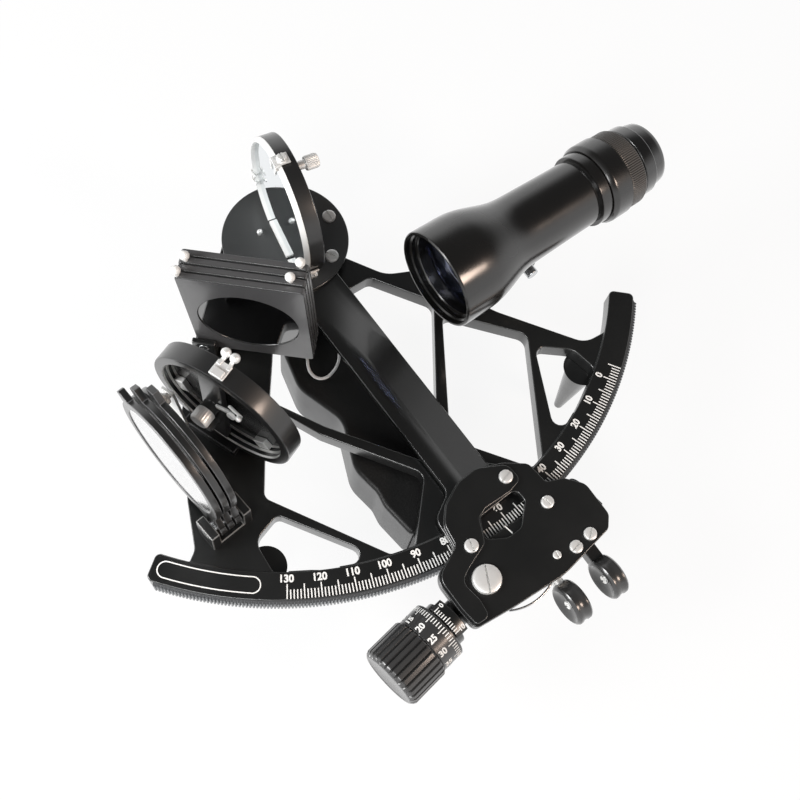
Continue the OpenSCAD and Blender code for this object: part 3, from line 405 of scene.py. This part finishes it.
# Lead. A thin wire in a smooth pale PVC jacket, a little hazy, from the handle to the underside of the
# hub; both its ends go into the instrument.
pvc = pale_surface("pale_pvc_jacket", "cccccc", 0.45, 2.5, "bcbcbc", "dadada")
route = [
    (-19, -45, 42), (-19, -45, 43.5), (-19.4, -46.5, 45.2), (-20.4, -49.5, 46), (-22.2, -53, 46.5),
    (-22.9, -56.5, 46.5), (-21.8, -60, 46.5), (-18.5, -61.8, 46.5), (-14.5, -61.2, 46.5),
    (-10.8, -59.3, 46.5), (-7.9, -56.5, 47), (-5.8, -52.5, 47.5), (-4.4, -48, 48.3), (-3.6, -43.5, 49.2),
    (-3.2, -39, 50), (-3, -36, 50.2), (-3, -34, 50.2),
]
wire = bpy.data.curves.new("lamp_lead", "CURVE")
wire.dimensions = "3D"
wire.bevel_depth = 0.7 * MM
wire.bevel_resolution = 4
wire.use_fill_caps = True
spline = wire.splines.new("BEZIER")
spline.bezier_points.add(len(route) - 1)
for knot, p in zip(spline.bezier_points, route):
    knot.co = Vector(p) * MM
    knot.handle_left_type = knot.handle_right_type = "AUTO"
wire.materials.append(pvc)
lamp_lead = bpy.data.objects.new("lamp_lead", wire)
bpy.context.scene.collection.objects.link(lamp_lead)
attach(lamp_lead, "frame")
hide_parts("lead")

# Telescope. A spun and turned aluminium tube in glossy black enamel, with a stepped mouth that holds the
# coated front lens; a saddle and one screw hold it to the bracket.


def joined(bm, part, place):
    """Adds to bm a closed shape that was made in mm, set at its place in mm."""
    bmesh.ops.remove_doubles(part, verts=part.verts, dist=0.0004)
    bmesh.ops.recalc_face_normals(part, faces=part.faces)
    bmesh.ops.transform(part, matrix=Matrix.Scale(MM, 4) @ place, verts=part.verts)
    if place.is_negative:
        bmesh.ops.reverse_faces(part, faces=part.faces)
    mesh = bpy.data.meshes.new("part")
    part.to_mesh(mesh)
    part.free()
    bm.from_mesh(mesh)
    bpy.data.meshes.remove(mesh)
    return bm


def at(x, y, z, angle=0, axis="Z"):
    """A place in mm, turned by an angle in degrees about one axis."""
    return Matrix.Translation((x, y, z)) @ Matrix.Rotation(math.radians(angle), 4, axis)


def lathed(profile, steps, axis="Z"):
    """A closed piece turned about an axis from its profile of (distance along it, radius) in mm."""
    bm = bmesh.new()
    rim = [bm.verts.new((r, 0, x)) for x, r in profile]
    ring = [bm.edges.new(pair) for pair in zip(rim, rim[1:] + rim[:1])
            if not (pair[0].co.x == 0 and pair[1].co.x == 0)]
    bmesh.ops.spin(bm, geom=rim + ring, cent=(0, 0, 0), axis=(0, 0, 1), angle=math.tau, steps=steps,
                   use_merge=True)
    if axis == "X":
        bmesh.ops.rotate(bm, verts=bm.verts, cent=(0, 0, 0), matrix=Matrix.Rotation(math.pi / 2, 3, "Y"))
    return bm


def turned(profile, place):
    """A piece turned about X, set at its place."""
    return joined(bmesh.new(), lathed(profile, 96, "X"), place)


def block(length, width, height, soft=0.3):
    """A box in mm with eased edges; its middle is at the origin."""
    bm = bmesh.new()
    bmesh.ops.create_cube(bm, size=1, matrix=Matrix.Diagonal((length, width, height, 1)))
    bmesh.ops.bevel(bm, geom=bm.edges[:], offset=soft, offset_type="OFFSET", affect="EDGES", segments=2,
                    profile=0.5, material=-1)
    return bm


def polished_glass(name, colour, rough, film_mm, detail, film, metallic=0.0, **sockets):
    """Polished glass under a film of dust and wiping marks of that width, which makes the gloss uneven."""
    made, tree, inputs, coords = new_surface(name, colour, rough, metallic, **sockets)
    dust = add_node(tree, "ShaderNodeTexNoise", {"Vector": coords, "Scale": 1 / (film_mm * MM),
                                                 "Detail": detail})
    add_node(tree, "ShaderNodeMapRange", {"Value": dust, "To Min": film[0], "To Max": film[1]},
             inputs["Roughness"])
    return made


TELE_X = 39.0
tele = at(TELE_X, -64, 90, 1.3) @ at(-TELE_X, 0, 0)
telescope_enamel = sprayed_enamel("telescope_enamel", "0e0d0c", 0.24, 0.5, 0.2)
tube = [
    (39, 22.4), (46, 22.35), (51, 22.1), (55, 21.4), (59, 20.3), (63, 19), (67, 17.7), (71, 16.7), (75, 16.2),
    (80, 15.95), (86, 15.8), (96, 15.5), (111, 15.2), (112, 14.4), (113, 14.4), (113, 16.6), (113.4, 16.8),
    (117.8, 16.8), (118, 16.6), (118, 14.2), (134.8, 14.2), (134.8, 12.63), (112.5, 12.63), (108, 13.6),
    (76, 14.2), (70, 15), (56, 18.4), (48, 18.6), (48, 20.1), (39, 20.1),
]
bm = turned(tube, tele)
joined(bm, block(17, 16, 5.4, 0.5), tele @ at(77.5, 0, -16.1))
finished(bm, "telescope_body", "frame", [telescope_enamel], ["telescope_tube"], 30)
mouth = [
    (33, 21.1), (33, 21.8), (33.4, 22.3), (34, 22.5), (39, 22.45), (39, 20.1), (41, 20.1), (41, 18.9),
    (38.6, 18.9), (38.2, 19.2), (38.2, 20), (36, 20.2), (35.4, 20.9),
]
finished(turned(mouth, tele), "objective_bezel", "frame", [telescope_enamel], ["objective_ring"],
         30)

# The crown glass of the lens is clear, and its coating throws back a faint violet blue.
coated = polished_glass("coated_crown_glass", "dfe6ee", 0.02, 1.1, 4.0, (0.01, 0.05), IOR=1.52,
                        Transmission_Weight=1.0, Coat_Weight=0.4, Coat_Tint=hex_colour("9fb0e8"))
front_lens = [(41.3, 0), (41.6, 6), (42.4, 12), (43.8, 18), (44.3, 19.4), (47.6, 19.4), (47.4, 12), (47.3, 0)]
finished(turned(front_lens, tele), "objective_glass", "frame", [coated], ["objective_lens"], 30)

# Eyepiece. A smooth collar and a knurled grip turn on the tube and push the bright eyepiece tube out; a
# soft, shiny rubber cup closes the end.
collar = [
    (118.2, 14.23), (118.2, 17.5), (119.7, 18.5), (121, 18.7), (128.4, 18.6), (129, 18.1), (129.4, 17.2),
    (137.6, 17), (138.2, 16.5), (138.2, 14.23),
]
finished(turned(collar, tele), "focus_collar", "focus_ring", [telescope_enamel], ["focus_ring"],
         30)


def ribbed(stations, count, points=3):
    """A ring about X with straight grooves; stations are (x, radius, depth of the grooves) in mm."""
    bm = bmesh.new()
    bmesh.ops.create_circle(bm, segments=points * count, radius=1)
    bmesh.ops.rotate(bm, verts=bm.verts, cent=(0, 0, 0), matrix=Matrix.Rotation(math.pi / 2, 3, "Y"))
    row, edges = bm.verts[:], bm.edges[:]
    for i, (x, radius, depth) in enumerate(stations):
        if i:
            made = bmesh.ops.extrude_edge_only(bm, edges=edges)["geom"]
            row = [g for g in made if isinstance(g, bmesh.types.BMVert)]
            edges = [g for g in made if isinstance(g, bmesh.types.BMEdge) and all(v in row for v in g.verts)]
        for v in row:
            step = round(math.atan2(v.co.z, v.co.y) / math.tau * points * count)
            out = Vector((0, v.co.y, v.co.z)).normalized() * (radius - (0 if step % points else depth))
            v.co = Vector((x, out.y, out.z))
    bmesh.ops.bridge_loops(bm, edges=[e for e in bm.edges if e.is_boundary])
    return bm


# The knurled grip is duller, lighter and browner than the tube.
knurl_enamel = sprayed_enamel("knurled_black_metal", "34302c", 0.4, 0.5, 0.2)
knurl = [
    (129.4, 16.9, 0), (129.4, 17.6, 0), (130, 17.9, 0.28), (136.8, 17.9, 0.28), (137.4, 17.6, 0),
    (137.4, 16.9, 0),
]
bm = joined(bmesh.new(), ribbed(knurl, 110), tele)
finished(bm, "focus_knurl", "focus_ring", [knurl_enamel], (), 40)
eased_node("eyepiece_tube", "eyepiece_tube_turned", "eyepiece", [steel], "bright_steel", 0.2)
eye_lens = [(142.9, 0), (142.6, 7), (142.2, 10.75), (145.8, 10.75), (145.4, 7), (145.1, 0)]
finished(turned(eye_lens, tele), "eyepiece_glass", "eyepiece", [coated], ["eyepiece_lens"], 30)
cup = [
    (138.8, 12.6), (138.8, 16.2), (139.2, 16.6), (144.4, 16.5), (145, 16.1), (145.4, 15.4), (149.4, 14.9),
    (151.2, 14.5), (151.8, 13.9), (151.6, 12.2), (150.6, 11.2), (150.4, 11.1), (150.8, 12.6),
]
eyecup_rubber = sprayed_enamel("gloss_rubber", "0d0d0d", 0.16, 0.6, 0.2, 1.0)
finished(turned(cup, tele), "eyecup_moulded", "eyepiece", [eyecup_rubber], ["eyecup"], 40)
eased_node("telescope_bracket", "telescope_saddle", "frame", [enamel, worn_and_lit_edge_enamel], "black_paint", 0.7)
eased_node("telescope_clamp", "telescope_clamp_screw", "telescope_clamp", [steel], "bright_steel", 0.4)

# Horizon mirror. A cast ring on a foot, seen from behind, with three lips in its bore that are given the
# bright plated metal as painted highlights. Its glass is silvered in front, and painted matt black behind so
# that it throws no light back.
silvered = polished_glass("silvered_glass", "e9edef", 0.03, 17, 4.0, (0.02, 0.09), 1.0)
back_black = sprayed_enamel("matt_black_backing", "0c0c0c", 0.7, 0.3, 0.3)
# The rings have a duller enamel than the frame; the plated fittings are bright but not quite mirrors.
ring_enamel = sprayed_enamel("mirror_ring_enamel", "141414", 0.38, 0.5, 0.3)
bright = turned_metal("nickel_plated_steel", "f0f0ee", 0.34, 0.4, metallic=0.5)


def facing(azimuth, spot=(0, 0)):
    """The place of an upright mirror or shade in mm: x sideways, y up, z along its normal."""
    return (at(spot[0], spot[1], 0, azimuth + 90) @ Matrix.Rotation(math.pi / 2, 4, "X")
            @ Matrix.Diagonal((-1, 1, 1, 1)))


def cut(bm, point, normal):
    """Cuts a closed shape in mm by a plane, drops what lies behind it and closes the cut."""
    bmesh.ops.remove_doubles(bm, verts=bm.verts, dist=0.0004)
    bmesh.ops.bisect_plane(bm, geom=bm.verts[:] + bm.edges[:] + bm.faces[:], dist=0.0001, plane_co=point,
                           plane_no=normal, clear_inner=True)
    bmesh.ops.holes_fill(bm, edges=[e for e in bm.edges if e.is_boundary])
    return bm


HORIZON = facing(22, (-72.6, -66.8))
SIGHT_Y = 90
HORIZON_FOOT_Y = 60.05
eased_node("horizon_mirror_base", "horizon_mirror_base_cast", "frame", [ring_enamel, worn_and_lit_edge_enamel],
           "black_paint", 0.5)


def in_bore(c, n):
    """Whether a face lies on one of the three lips in the bore of the horizon mirror's ring, painted bright
    as highlights.
    """
    p = HORIZON.inverted() @ c
    return math.hypot(p.x, p.y - SIGHT_Y) < 28.3 and (p.z < 0.75 or 2.35 < p.z < 3.25 or p.z > 4.8)


profile = [
    (0, 28.3), (0, 31.5), (0.2, 32), (0.7, 32.2), (7.9, 32.2), (8.4, 32), (8.5, 31.6), (8.5, 30.5),
    (5.9, 30.5), (5.9, 27.6), (4.8, 27.6), (4.7, 28), (3.3, 28), (3.2, 27.5), (2.4, 27.5), (2.3, 28),
    (0.8, 28), (0.7, 27.8),
]
ring = cut(lathed(profile, 96), (0, HORIZON_FOOT_Y - SIGHT_Y, 0), (0, 1, 0))
bm = painted(joined(bmesh.new(), ring, HORIZON @ at(0, SIGHT_Y, 0)), 2, in_bore)
finished(bm, "horizon_mirror_ring_cast", "frame", [ring_enamel, worn_and_lit_edge_enamel, bright], ["horizon_mirror_ring"])

# Its fittings are nickel plated: a clip with two ball headed screws over the top of the ring, two lugs on
# the glass inside it, a knurled, a slotted and a ball headed screw on the enamelled bridge across its back,
# and a knurled screw on a strip at its side.
SCREW_SLOT = 0.8
TOP_CLIP_Y = 118


def rod(start, end, radius, steps=24, axis="Z"):
    """A plain round bar along an axis, in mm."""
    return lathed([(start, 0), (start, radius), (end, radius), (end, 0)], steps, axis)


def screw(bm, place, radius, height):
    """A slotted screw with a domed head; its seat is at z = 0."""
    r, h = radius, height
    dome = [(0, 0), (0, r), (0.45 * h, r), (0.75 * h, 0.95 * r), (0.93 * h, 0.8 * r), (h, 0.5 * r), (h, 0)]
    for side in (-1, 1):
        joined(bm, cut(lathed(dome, 32), (0, side * SCREW_SLOT / 2, 0), (0, side, 0)), place)
    return joined(bm, rod(0, 0.4 * h, 0.98 * r, 32), place)


def ball_peg(bm, place, length, radius):
    """A ball on a thin stem that rises along z from its seat at z = 0."""
    stem = 0.9
    steps = [math.radians(a) for a in range(-60, 91, 15)]
    ball = [(length + radius * math.sin(a), max(radius * math.cos(a), 0)) for a in steps]
    profile = [(0, 0), (0, stem), (ball[0][0], stem)] + ball[:-1] + [(length + radius, 0)]
    return joined(bm, lathed(profile, 24), place)


def knurled_barrel(bm, place, length, radius):
    """A knurled adjusting screw on a thinner neck that rises along z from its seat."""
    rows = [
        (0, 0.4, 0), (0, radius * 0.6, 0), (length * 0.25, radius * 0.62, 0),
        (length * 0.28, radius * 0.93, 0), (length * 0.34, radius, 0.22), (length * 0.9, radius, 0.22),
        (length, radius * 0.88, 0), (length, 0.4, 0),
    ]
    joined(bm, rod(0.1, length - 0.1, radius * 0.5, 20), place)
    return joined(bm, ribbed(rows, 26), place @ Matrix.Rotation(-math.pi / 2, 4, "Y"))


def within(place, v):
    """Where a vertex lies along a place's own axes, in mm."""
    return place.inverted() @ (v.co / MM)


bm = copied("horizon_mirror_clips")
top_clip = [v for v in bm.verts if within(HORIZON, v).y > TOP_CLIP_Y]
bmesh.ops.delete(bm, geom=top_clip, context="VERTS")
ease(bm, 0.3)
joined(bm, block(6.4, 0.9, 6.6), HORIZON @ at(-1, 122.6, 4.4))
for x, turn in ((-3, 6), (1, -8)):
    joined(bm, block(1.6, 0.9, 6, 0.2), HORIZON @ at(x * 0.9, 122.9, 8.6, turn, "Y"))
    ball_peg(bm, HORIZON @ at(x, 122, 10.6, -90, "X"), 2.2, 2)
joined(bm, block(4.6, 1.6, 3.4), HORIZON @ at(-1, 123.2, 2.6))
finished(bm, "horizon_mirror_clips_bent", "frame", [bright], ["horizon_mirror_clips"])
eased_node("horizon_mirror_adjuster", "horizon_mirror_bridge", "frame", [ring_enamel], "bright_steel", 0.25)
bm = bmesh.new()
knurled_barrel(bm, HORIZON @ at(-4, 93, -1, 180, "X"), 8, 4)
joined(bm, block(9, 2, 1.2), HORIZON @ at(3, 99, -0.6, 24))
screw(bm, HORIZON @ at(6.8, 100.6, -1.1, 180, "X"), 2, 1.4)
joined(bm, block(7, 1.6, 1), HORIZON @ at(8, 104, -0.4, -35))
ball_peg(bm, HORIZON @ at(10.4, 103, -0.3, 180, "X"), 1.4, 1.3)
finished(bm, "horizon_mirror_adjusters", "frame", [bright], ())
bm = joined(bmesh.new(), block(6, 31, 1.4), HORIZON @ at(-21.6, 71, -3.4, 8))
knurled_barrel(bm, HORIZON @ at(-23.4, 84, -3.6, 180, "X"), 6.4, 3)
finished(bm, "horizon_side_adjuster", "frame", [bright], ())
glass = painted(copied("horizon_mirror_glass"), 1, lambda c, n: (HORIZON.to_3x3().inverted() @ n).z < 0.5)
finished(glass, "horizon_mirror_silvered", "frame", [silvered, back_black], ["horizon_mirror_glass"])

# Horizon shades. Three turned rings, hinged on one pin between two cheeks whose eased edges are painted a
# light grey as a highlight. Two hold dark polished glass and the front one a glass plated against the sun,
# which looks white.
TAB_FROM_R, TAB_REACH = 28.9, 26
# The shades' enamel is a lighter grey than the frame's: on the index shades' plates partly their own tone and
# partly painted light, on the eased edges of the round shades a painted highlight.
shade_enamel = sprayed_enamel("shade_enamel", "474748", 0.42, 0.5, 0.3)
# Painted highlight for the cheeks' eased edges.
cheek_edge_highlight = sprayed_enamel("enamel_painted_edge_highlight", "6e6e6c", 0.36, 0.4, 0.3)
dark_glass = polished_glass("dark_shade_glass", "040405", 0.06, 8.3, 3.0, (0.03, 0.1), IOR=2.0,
                            Coat_Weight=1.0)
plated_glass = polished_glass("plated_sun_glass", "e6e6e6", 0.08, 8.3, 3.0, (0.05, 0.14), 0.85)
SHADES = facing(7, (-98, -73.2))
for i, tab_angle, slim, glass in (
        (1, 147, 0.35, plated_glass), (2, 133, 0.6, dark_glass), (3, 119, 0.75, dark_glass)):
    body = f"horizon_shade_{i}"
    bm = copied(body, whole=False)
    along = Matrix.Rotation(math.radians(tab_angle), 3, "Z") @ Vector((1, 0, 0))
    for v in bm.verts:
        p = within(SHADES, v)
        out = Vector((p.x, p.y - SIGHT_Y, 0))
        if out.length > TAB_FROM_R and out.dot(along) > TAB_REACH:
            across = out - along * out.dot(along)
            v.co = SHADES @ (p - across * (1 - slim)) * MM
    finished(ease(bm, 0.3, 1), body + "_ring", body, [ring_enamel, shade_enamel], [body])
    finished(copied(f"horizon_glass_{i}"), f"horizon_glass_{i}_coated", body, [glass], [f"horizon_glass_{i}"])
eased_node("horizon_shade_bracket", "horizon_shade_cheeks", "frame", [enamel, cheek_edge_highlight], "black_paint", 0.5)

# Index shades. Four square plates with round dark glasses. Each is swung by a white nylon ball on a pin
# that stands on its upper edge; nylon lets a little light in, so the balls look soft.
SHADE_TOP = 55.0
LEAF_PITCH = 3.4
nylon = pale_surface("white_nylon", "f0f0ee", 0.3, 1.4, "e6e6e3", "f6f6f4", Subsurface_Weight=0.1,
                     Subsurface_Radius=(MM, MM, MM))
for i, ball_x in enumerate((2.2, -40.9, 0.3, -43.6)):
    body = f"index_shade_{i + 1}"
    node = f"index_glass_{i + 1}"
    leaf = facing(227) @ at(24.2, 63.6, 57.9 - LEAF_PITCH * i - 2.8, -5)
    bm = copied(body, whole=False)
    above = [v for v in bm.verts if within(leaf, v).y > SHADE_TOP + 0.01]
    bmesh.ops.delete(bm, geom=above, context="VERTS")
    bmesh.ops.holes_fill(bm, edges=[e for e in bm.edges if e.is_boundary])
    finished(ease(bm, 0.35, 1), body + "_plate", body, [shade_enamel, worn_and_lit_edge_enamel], [body])
    finished(copied(node), node + "_dark", body, [dark_glass], [node])
    bm = ball_peg(bmesh.new(), leaf @ at(ball_x, SHADE_TOP - 0.3, 1.4, -90, "X"), 3.4, 2.0)
    finished(bm, body + "_ball", body, [nylon], ())
eased_node("index_shade_bracket", "index_shade_cheeks", "frame", [enamel, worn_and_lit_edge_enamel], "black_paint", 0.6)
eased_node("shade_pins", "shade_pins_turned", "frame", [steel], "bright_steel", 0.3)

# Index mirror. A heavy enamelled ring on a round plate above the pivot, painted white on its turned front
# rim and on the sill that it stands on as a painted reflection; its glass is silvered all over.
# The plate's enamel is a lighter grey than the frame's, as painted light from the lamps at its left.
plate_enamel_painted_lit = sprayed_enamel("satin_enamel_painted_lighter", "363737", 0.42, 0.4, 0.3)
eased_node("mirror_disc", "mirror_plate", "index_arm", [plate_enamel_painted_lit, worn_and_lit_edge_enamel], "black_paint", 0.4,
           whole=False)
INDEX = facing(170.5)
INDEX_Y = 88.6
INDEX_FOOT_Y = 61.55
INDEX_FRONT = 3.8
RING_BACK = -5.0
GLASS_BACK, GLASS_FRONT = -0.1, 2.0
rim_reflection_paint = turned_metal("turned_rim_painted_white", "e6e6e4", 0.42, 0.35, metallic=0.15)
profile = [
    (RING_BACK, 0), (RING_BACK, 29.8), (RING_BACK + 0.2, 30.3), (RING_BACK + 0.7, 30.5), (1.7, 30.5),
    (2.1, 30.3), (3.2, 29.5), (INDEX_FRONT, 28.9), (INDEX_FRONT, 28.75), (1.9, 28.75), (-0.2, 28.75),
    (-0.2, 0),
]
ring = cut(lathed(profile, 96), (0, INDEX_FOOT_Y - INDEX_Y, 0), (0, 1, 0))


def on_rim(c, n):
    """Whether a face lies on the front rim of the ring, past its enamelled wall; it is painted white as a
    reflection.
    """
    p = INDEX.inverted() @ c
    return p.z > 1.75 and p.y > 61.8 and math.hypot(p.x, p.y - INDEX_Y) > 28.6


bm = painted(joined(bmesh.new(), ring, INDEX @ at(0, INDEX_Y, 0)), 2, on_rim)
joined(bm, block(22, 4, 8, 0.4), INDEX @ at(0, 63.55, RING_BACK - 3))
finished(bm, "index_mirror_ring_cast", "index_arm", [ring_enamel, worn_and_lit_edge_enamel, rim_reflection_paint],
         ["index_mirror_ring"])
# The sill is painted white as well, a painted reflection that carries the white rim on under the glass.
sill = joined(bmesh.new(), block(19.6, 1.9, 4, 0.35), INDEX @ at(0, 62.5, 1.8))
finished(sill, "index_mirror_sill", "index_arm", [rim_reflection_paint], ())
bm = copied("index_mirror_glass")
for v in bm.verts:
    p = within(INDEX, v)
    v.co = INDEX @ Vector((p.x, p.y, GLASS_FRONT if p.z > 3 else GLASS_BACK)) * MM
finished(bm, "index_mirror_silvered", "index_arm", [silvered], ["index_mirror_glass"])

# Its three clips are bent from nickel plated strip, each under a slotted screw, and a knurled screw behind
# the ring sets it square.
bm = bmesh.new()
for angle in (-26, 86, 196):
    clip = INDEX @ at(0, INDEX_Y, INDEX_FRONT) @ at(0, 0, 0, angle - 90) @ at(0, 30.5, 0)
    joined(bm, block(5.4, 0.9, 6.4), clip @ at(0, 0.7, -3))
    joined(bm, block(5.4, 1.4, 0.9), clip @ at(0, 0.3, 0.4))
    for x in (-1.9, 1.9):
        joined(bm, block(1.4, 5, 0.8, 0.25), clip @ at(x * 1.15, -2.6, 0.5, -8 * x))
    screw(bm, clip @ at(0, 1, -3.2, -90, "X"), 2.1, 1.9)
finished(bm, "index_mirror_clips_bent", "index_arm", [bright], ["index_mirror_clips"])
bm = joined(bmesh.new(), rod(0, 10, 1.8), INDEX @ at(2, 111.5, -15))
knurled_barrel(bm, INDEX @ at(2, 111.5, -7.4, 180, "X"), 7.8, 3.1)
finished(bm, "index_mirror_adjuster_knurled", "index_arm", [bright], ["index_mirror_adjuster"])

# Index arm. A flat aluminium bar that widens over the limb, with two cover plates screwed on it, all in
# the frame's enamel.
for n, name, soft in (("index_arm", "arm_bar", 0.5), ("cover_plate", "lower_cover", 0.45),
                      ("raised_plate", "upper_cover", 0.4)):
    eased_node(n, name, "index_arm", [enamel, worn_and_lit_edge_enamel], "black_paint", soft, segments=3)

# Slotted screws of plated steel hold the plates and the mirror's disc; the largest is the pivot of the
# worm carrier. The index is a line of white paint in the window of the plates.
WORM_DIST = 170.9
CARRIER_PIVOT = (-45.8, 0.4)
worm = at(0, 0, 0, math.degrees(math.asin(28.2 / WORM_DIST))) @ at(0, -WORM_DIST, 50.5)
bm = bmesh.new()
for x, y, z, radius, turn in (
        (15.2, -145.7, 64, 3, 20), (-14.5, -161.3, 64, 3, 75), (23.8, -164, 62.4, 2.8, 110),
        (30.5, -184.7, 62.4, 2.8, 40), (22.1, -185.7, 62.4, 2.8, 15), (13.3, -183.9, 62.4, 1.8, 80),
        (22.9, -0.9, 61.5, 3.1, 85), (12.6, -18.8, 61.5, 3.1, -62)):
    screw(bm, at(x, y, z, turn), radius, radius * 0.45)
ball_peg(bm, at(-8.6, 8, 61.5), 1.4, 1.3)
screw(bm, worm @ at(*CARRIER_PIVOT, 11.9, 55), 6.2, 2.4)
joined(bm, rod(0, 8.6, 3.5, 32), worm @ at(*CARRIER_PIVOT, 3.4))
finished(bm, "slotted_screws", "index_arm", [bright], ["arm_screws"])
bm = bmesh.new()
line(bm, (3.3, -161.8, 60), (4.2, -166.1, 60), MARK_WIDTH)
finished(bm, "index_line", "index_arm", [filler])

# Finger pads and spring. Two dished buttons of gloss black plastic on steel stems are squeezed together to
# free the worm, against a bow of spring steel.
PAD_HALF = 3.5
pad_gloss = sprayed_enamel("gloss_black_plastic", "2c2c2c", 0.3, 0.8, 0.15)
pad = [
    (0, 0), (1.9, 0), (1.7, 3.2), (0.8, 5.6), (0, 6.8), (-0.4, 7.8), (0, 8.7), (0.8, 9.3), (2, 9.3),
    (2.6, 8.9), (4.4, 8.9), (5, 9.3), (6.2, 9.3), (7, 8.7), (7.4, 7.8), (7, 6.8), (6.2, 5.6), (5.3, 3.2),
    (5.1, 0),
]
for body, node, x, y in (("index_arm", "fixed_finger_pad", 10.5, -202.5),
                         ("worm_carrier", "moving_finger_pad", 30, -202.8)):
    seat = at(x - PAD_HALF, y, 50.5)
    finished(turned(pad, seat), node + "_dished", body, [pad_gloss], [node])
    bm = screw(bmesh.new(), seat @ at(1.6, 0, 0, -90, "Y"), 2, 1.1)
    joined(bm, rod(0, 9.6, 2.6), seat @ at(PAD_HALF, 15.7, 0, 90, "X"))
    if body == "index_arm":
        joined(bm, block(6, 3.7, 9.4, 0.5), seat @ at(PAD_HALF, 13.85, 2))
    finished(bm, node + "_stem", body, [bright], ())
finished(copied("release_spring"), "bow_spring", "index_arm", [steel], ["release_spring"])

# Micrometer. The enamelled carrier holds the worm's brass shaft; on its end sit the graduated drum and a
# fluted knob, a shade greyer than the frame. The marks are filled with white paint.
DRUM_R = 13
eased_node("worm_carrier", "worm_carrier_cast", "worm_carrier", [enamel, worn_and_lit_edge_enamel], "black_paint", 0.4)
eased_node("vernier_plate", "vernier_arc", "worm_carrier", [enamel, worn_and_lit_edge_enamel], "black_paint", 0.3)
finished(copied("worm_shaft"), "worm_cut", "micrometer", [brass], ["worm_shaft"])
drum_enamel = sprayed_enamel("drum_enamel", "303030", 0.4, 0.4, 0.3)
knob = [
    (-81.6, 2.6, 0), (-81.6, 12.8, 0), (-82.2, 13.7, 0.7), (-82.9, 14, 1.1), (-98.3, 14, 1.1),
    (-99.3, 13.5, 0.8), (-100.3, 12.4, 0.1), (-100.5, 11.6, 0), (-100.2, 10.8, 0), (-99.9, 2.6, 0),
]
drum = [(-71, 2.6), (-71, 12.6), (-71.4, DRUM_R), (-81.3, DRUM_R), (-81.7, 12.7), (-81.7, 2.6)]
bm = joined(bmesh.new(), ribbed(knob, 30, 5), worm)
joined(bm, lathed(drum, 96, "X"), worm)
joined(bm, rod(-99.9, -82, 2.7, 32, "X"), worm)
finished(bm, "drum_knob", "micrometer", [drum_enamel], ["drum_and_knob"])


def on_drum(x, angle):
    """A point in mm on the cylinder of the drum, and the outward normal there; angle 0 is on top."""
    a = math.radians(angle)
    n = worm.to_3x3() @ Vector((0, math.sin(a), math.cos(a)))
    return worm @ Vector((x, DRUM_R * math.sin(a), DRUM_R * math.cos(a))), n


def graduated(count, first, step, foot, tips, numbers, height, numbered):
    """Marks about the worm's axis, each fifth one longer, and a number each so many."""
    axis = worm.to_3x3() @ Vector((1, 0, 0))
    bm = bmesh.new()
    for i in range(count):
        angle = first - i * step
        start, normal = on_drum(foot, angle)
        line(bm, start, on_drum(tips[i % 5 == 0], angle)[0], 0.42, normal)
        if i % numbered == 0:
            number(bm, str(i), height, on_drum(numbers, angle)[0], axis, normal)
    return bm


bm = graduated(count=60, first=145, step=6, foot=-72.2, tips=(-74.4, -75.8), numbers=-78.9, height=2.9,
               numbered=5)
finished(bm, "drum_scale", "micrometer", [filler])
bm = graduated(count=11, first=27, step=5.4, foot=-70.5, tips=(-68.6, -67.9), numbers=-66.6, height=2.2,
               numbered=10)
finished(bm, "vernier_scale", "worm_carrier", [filler])
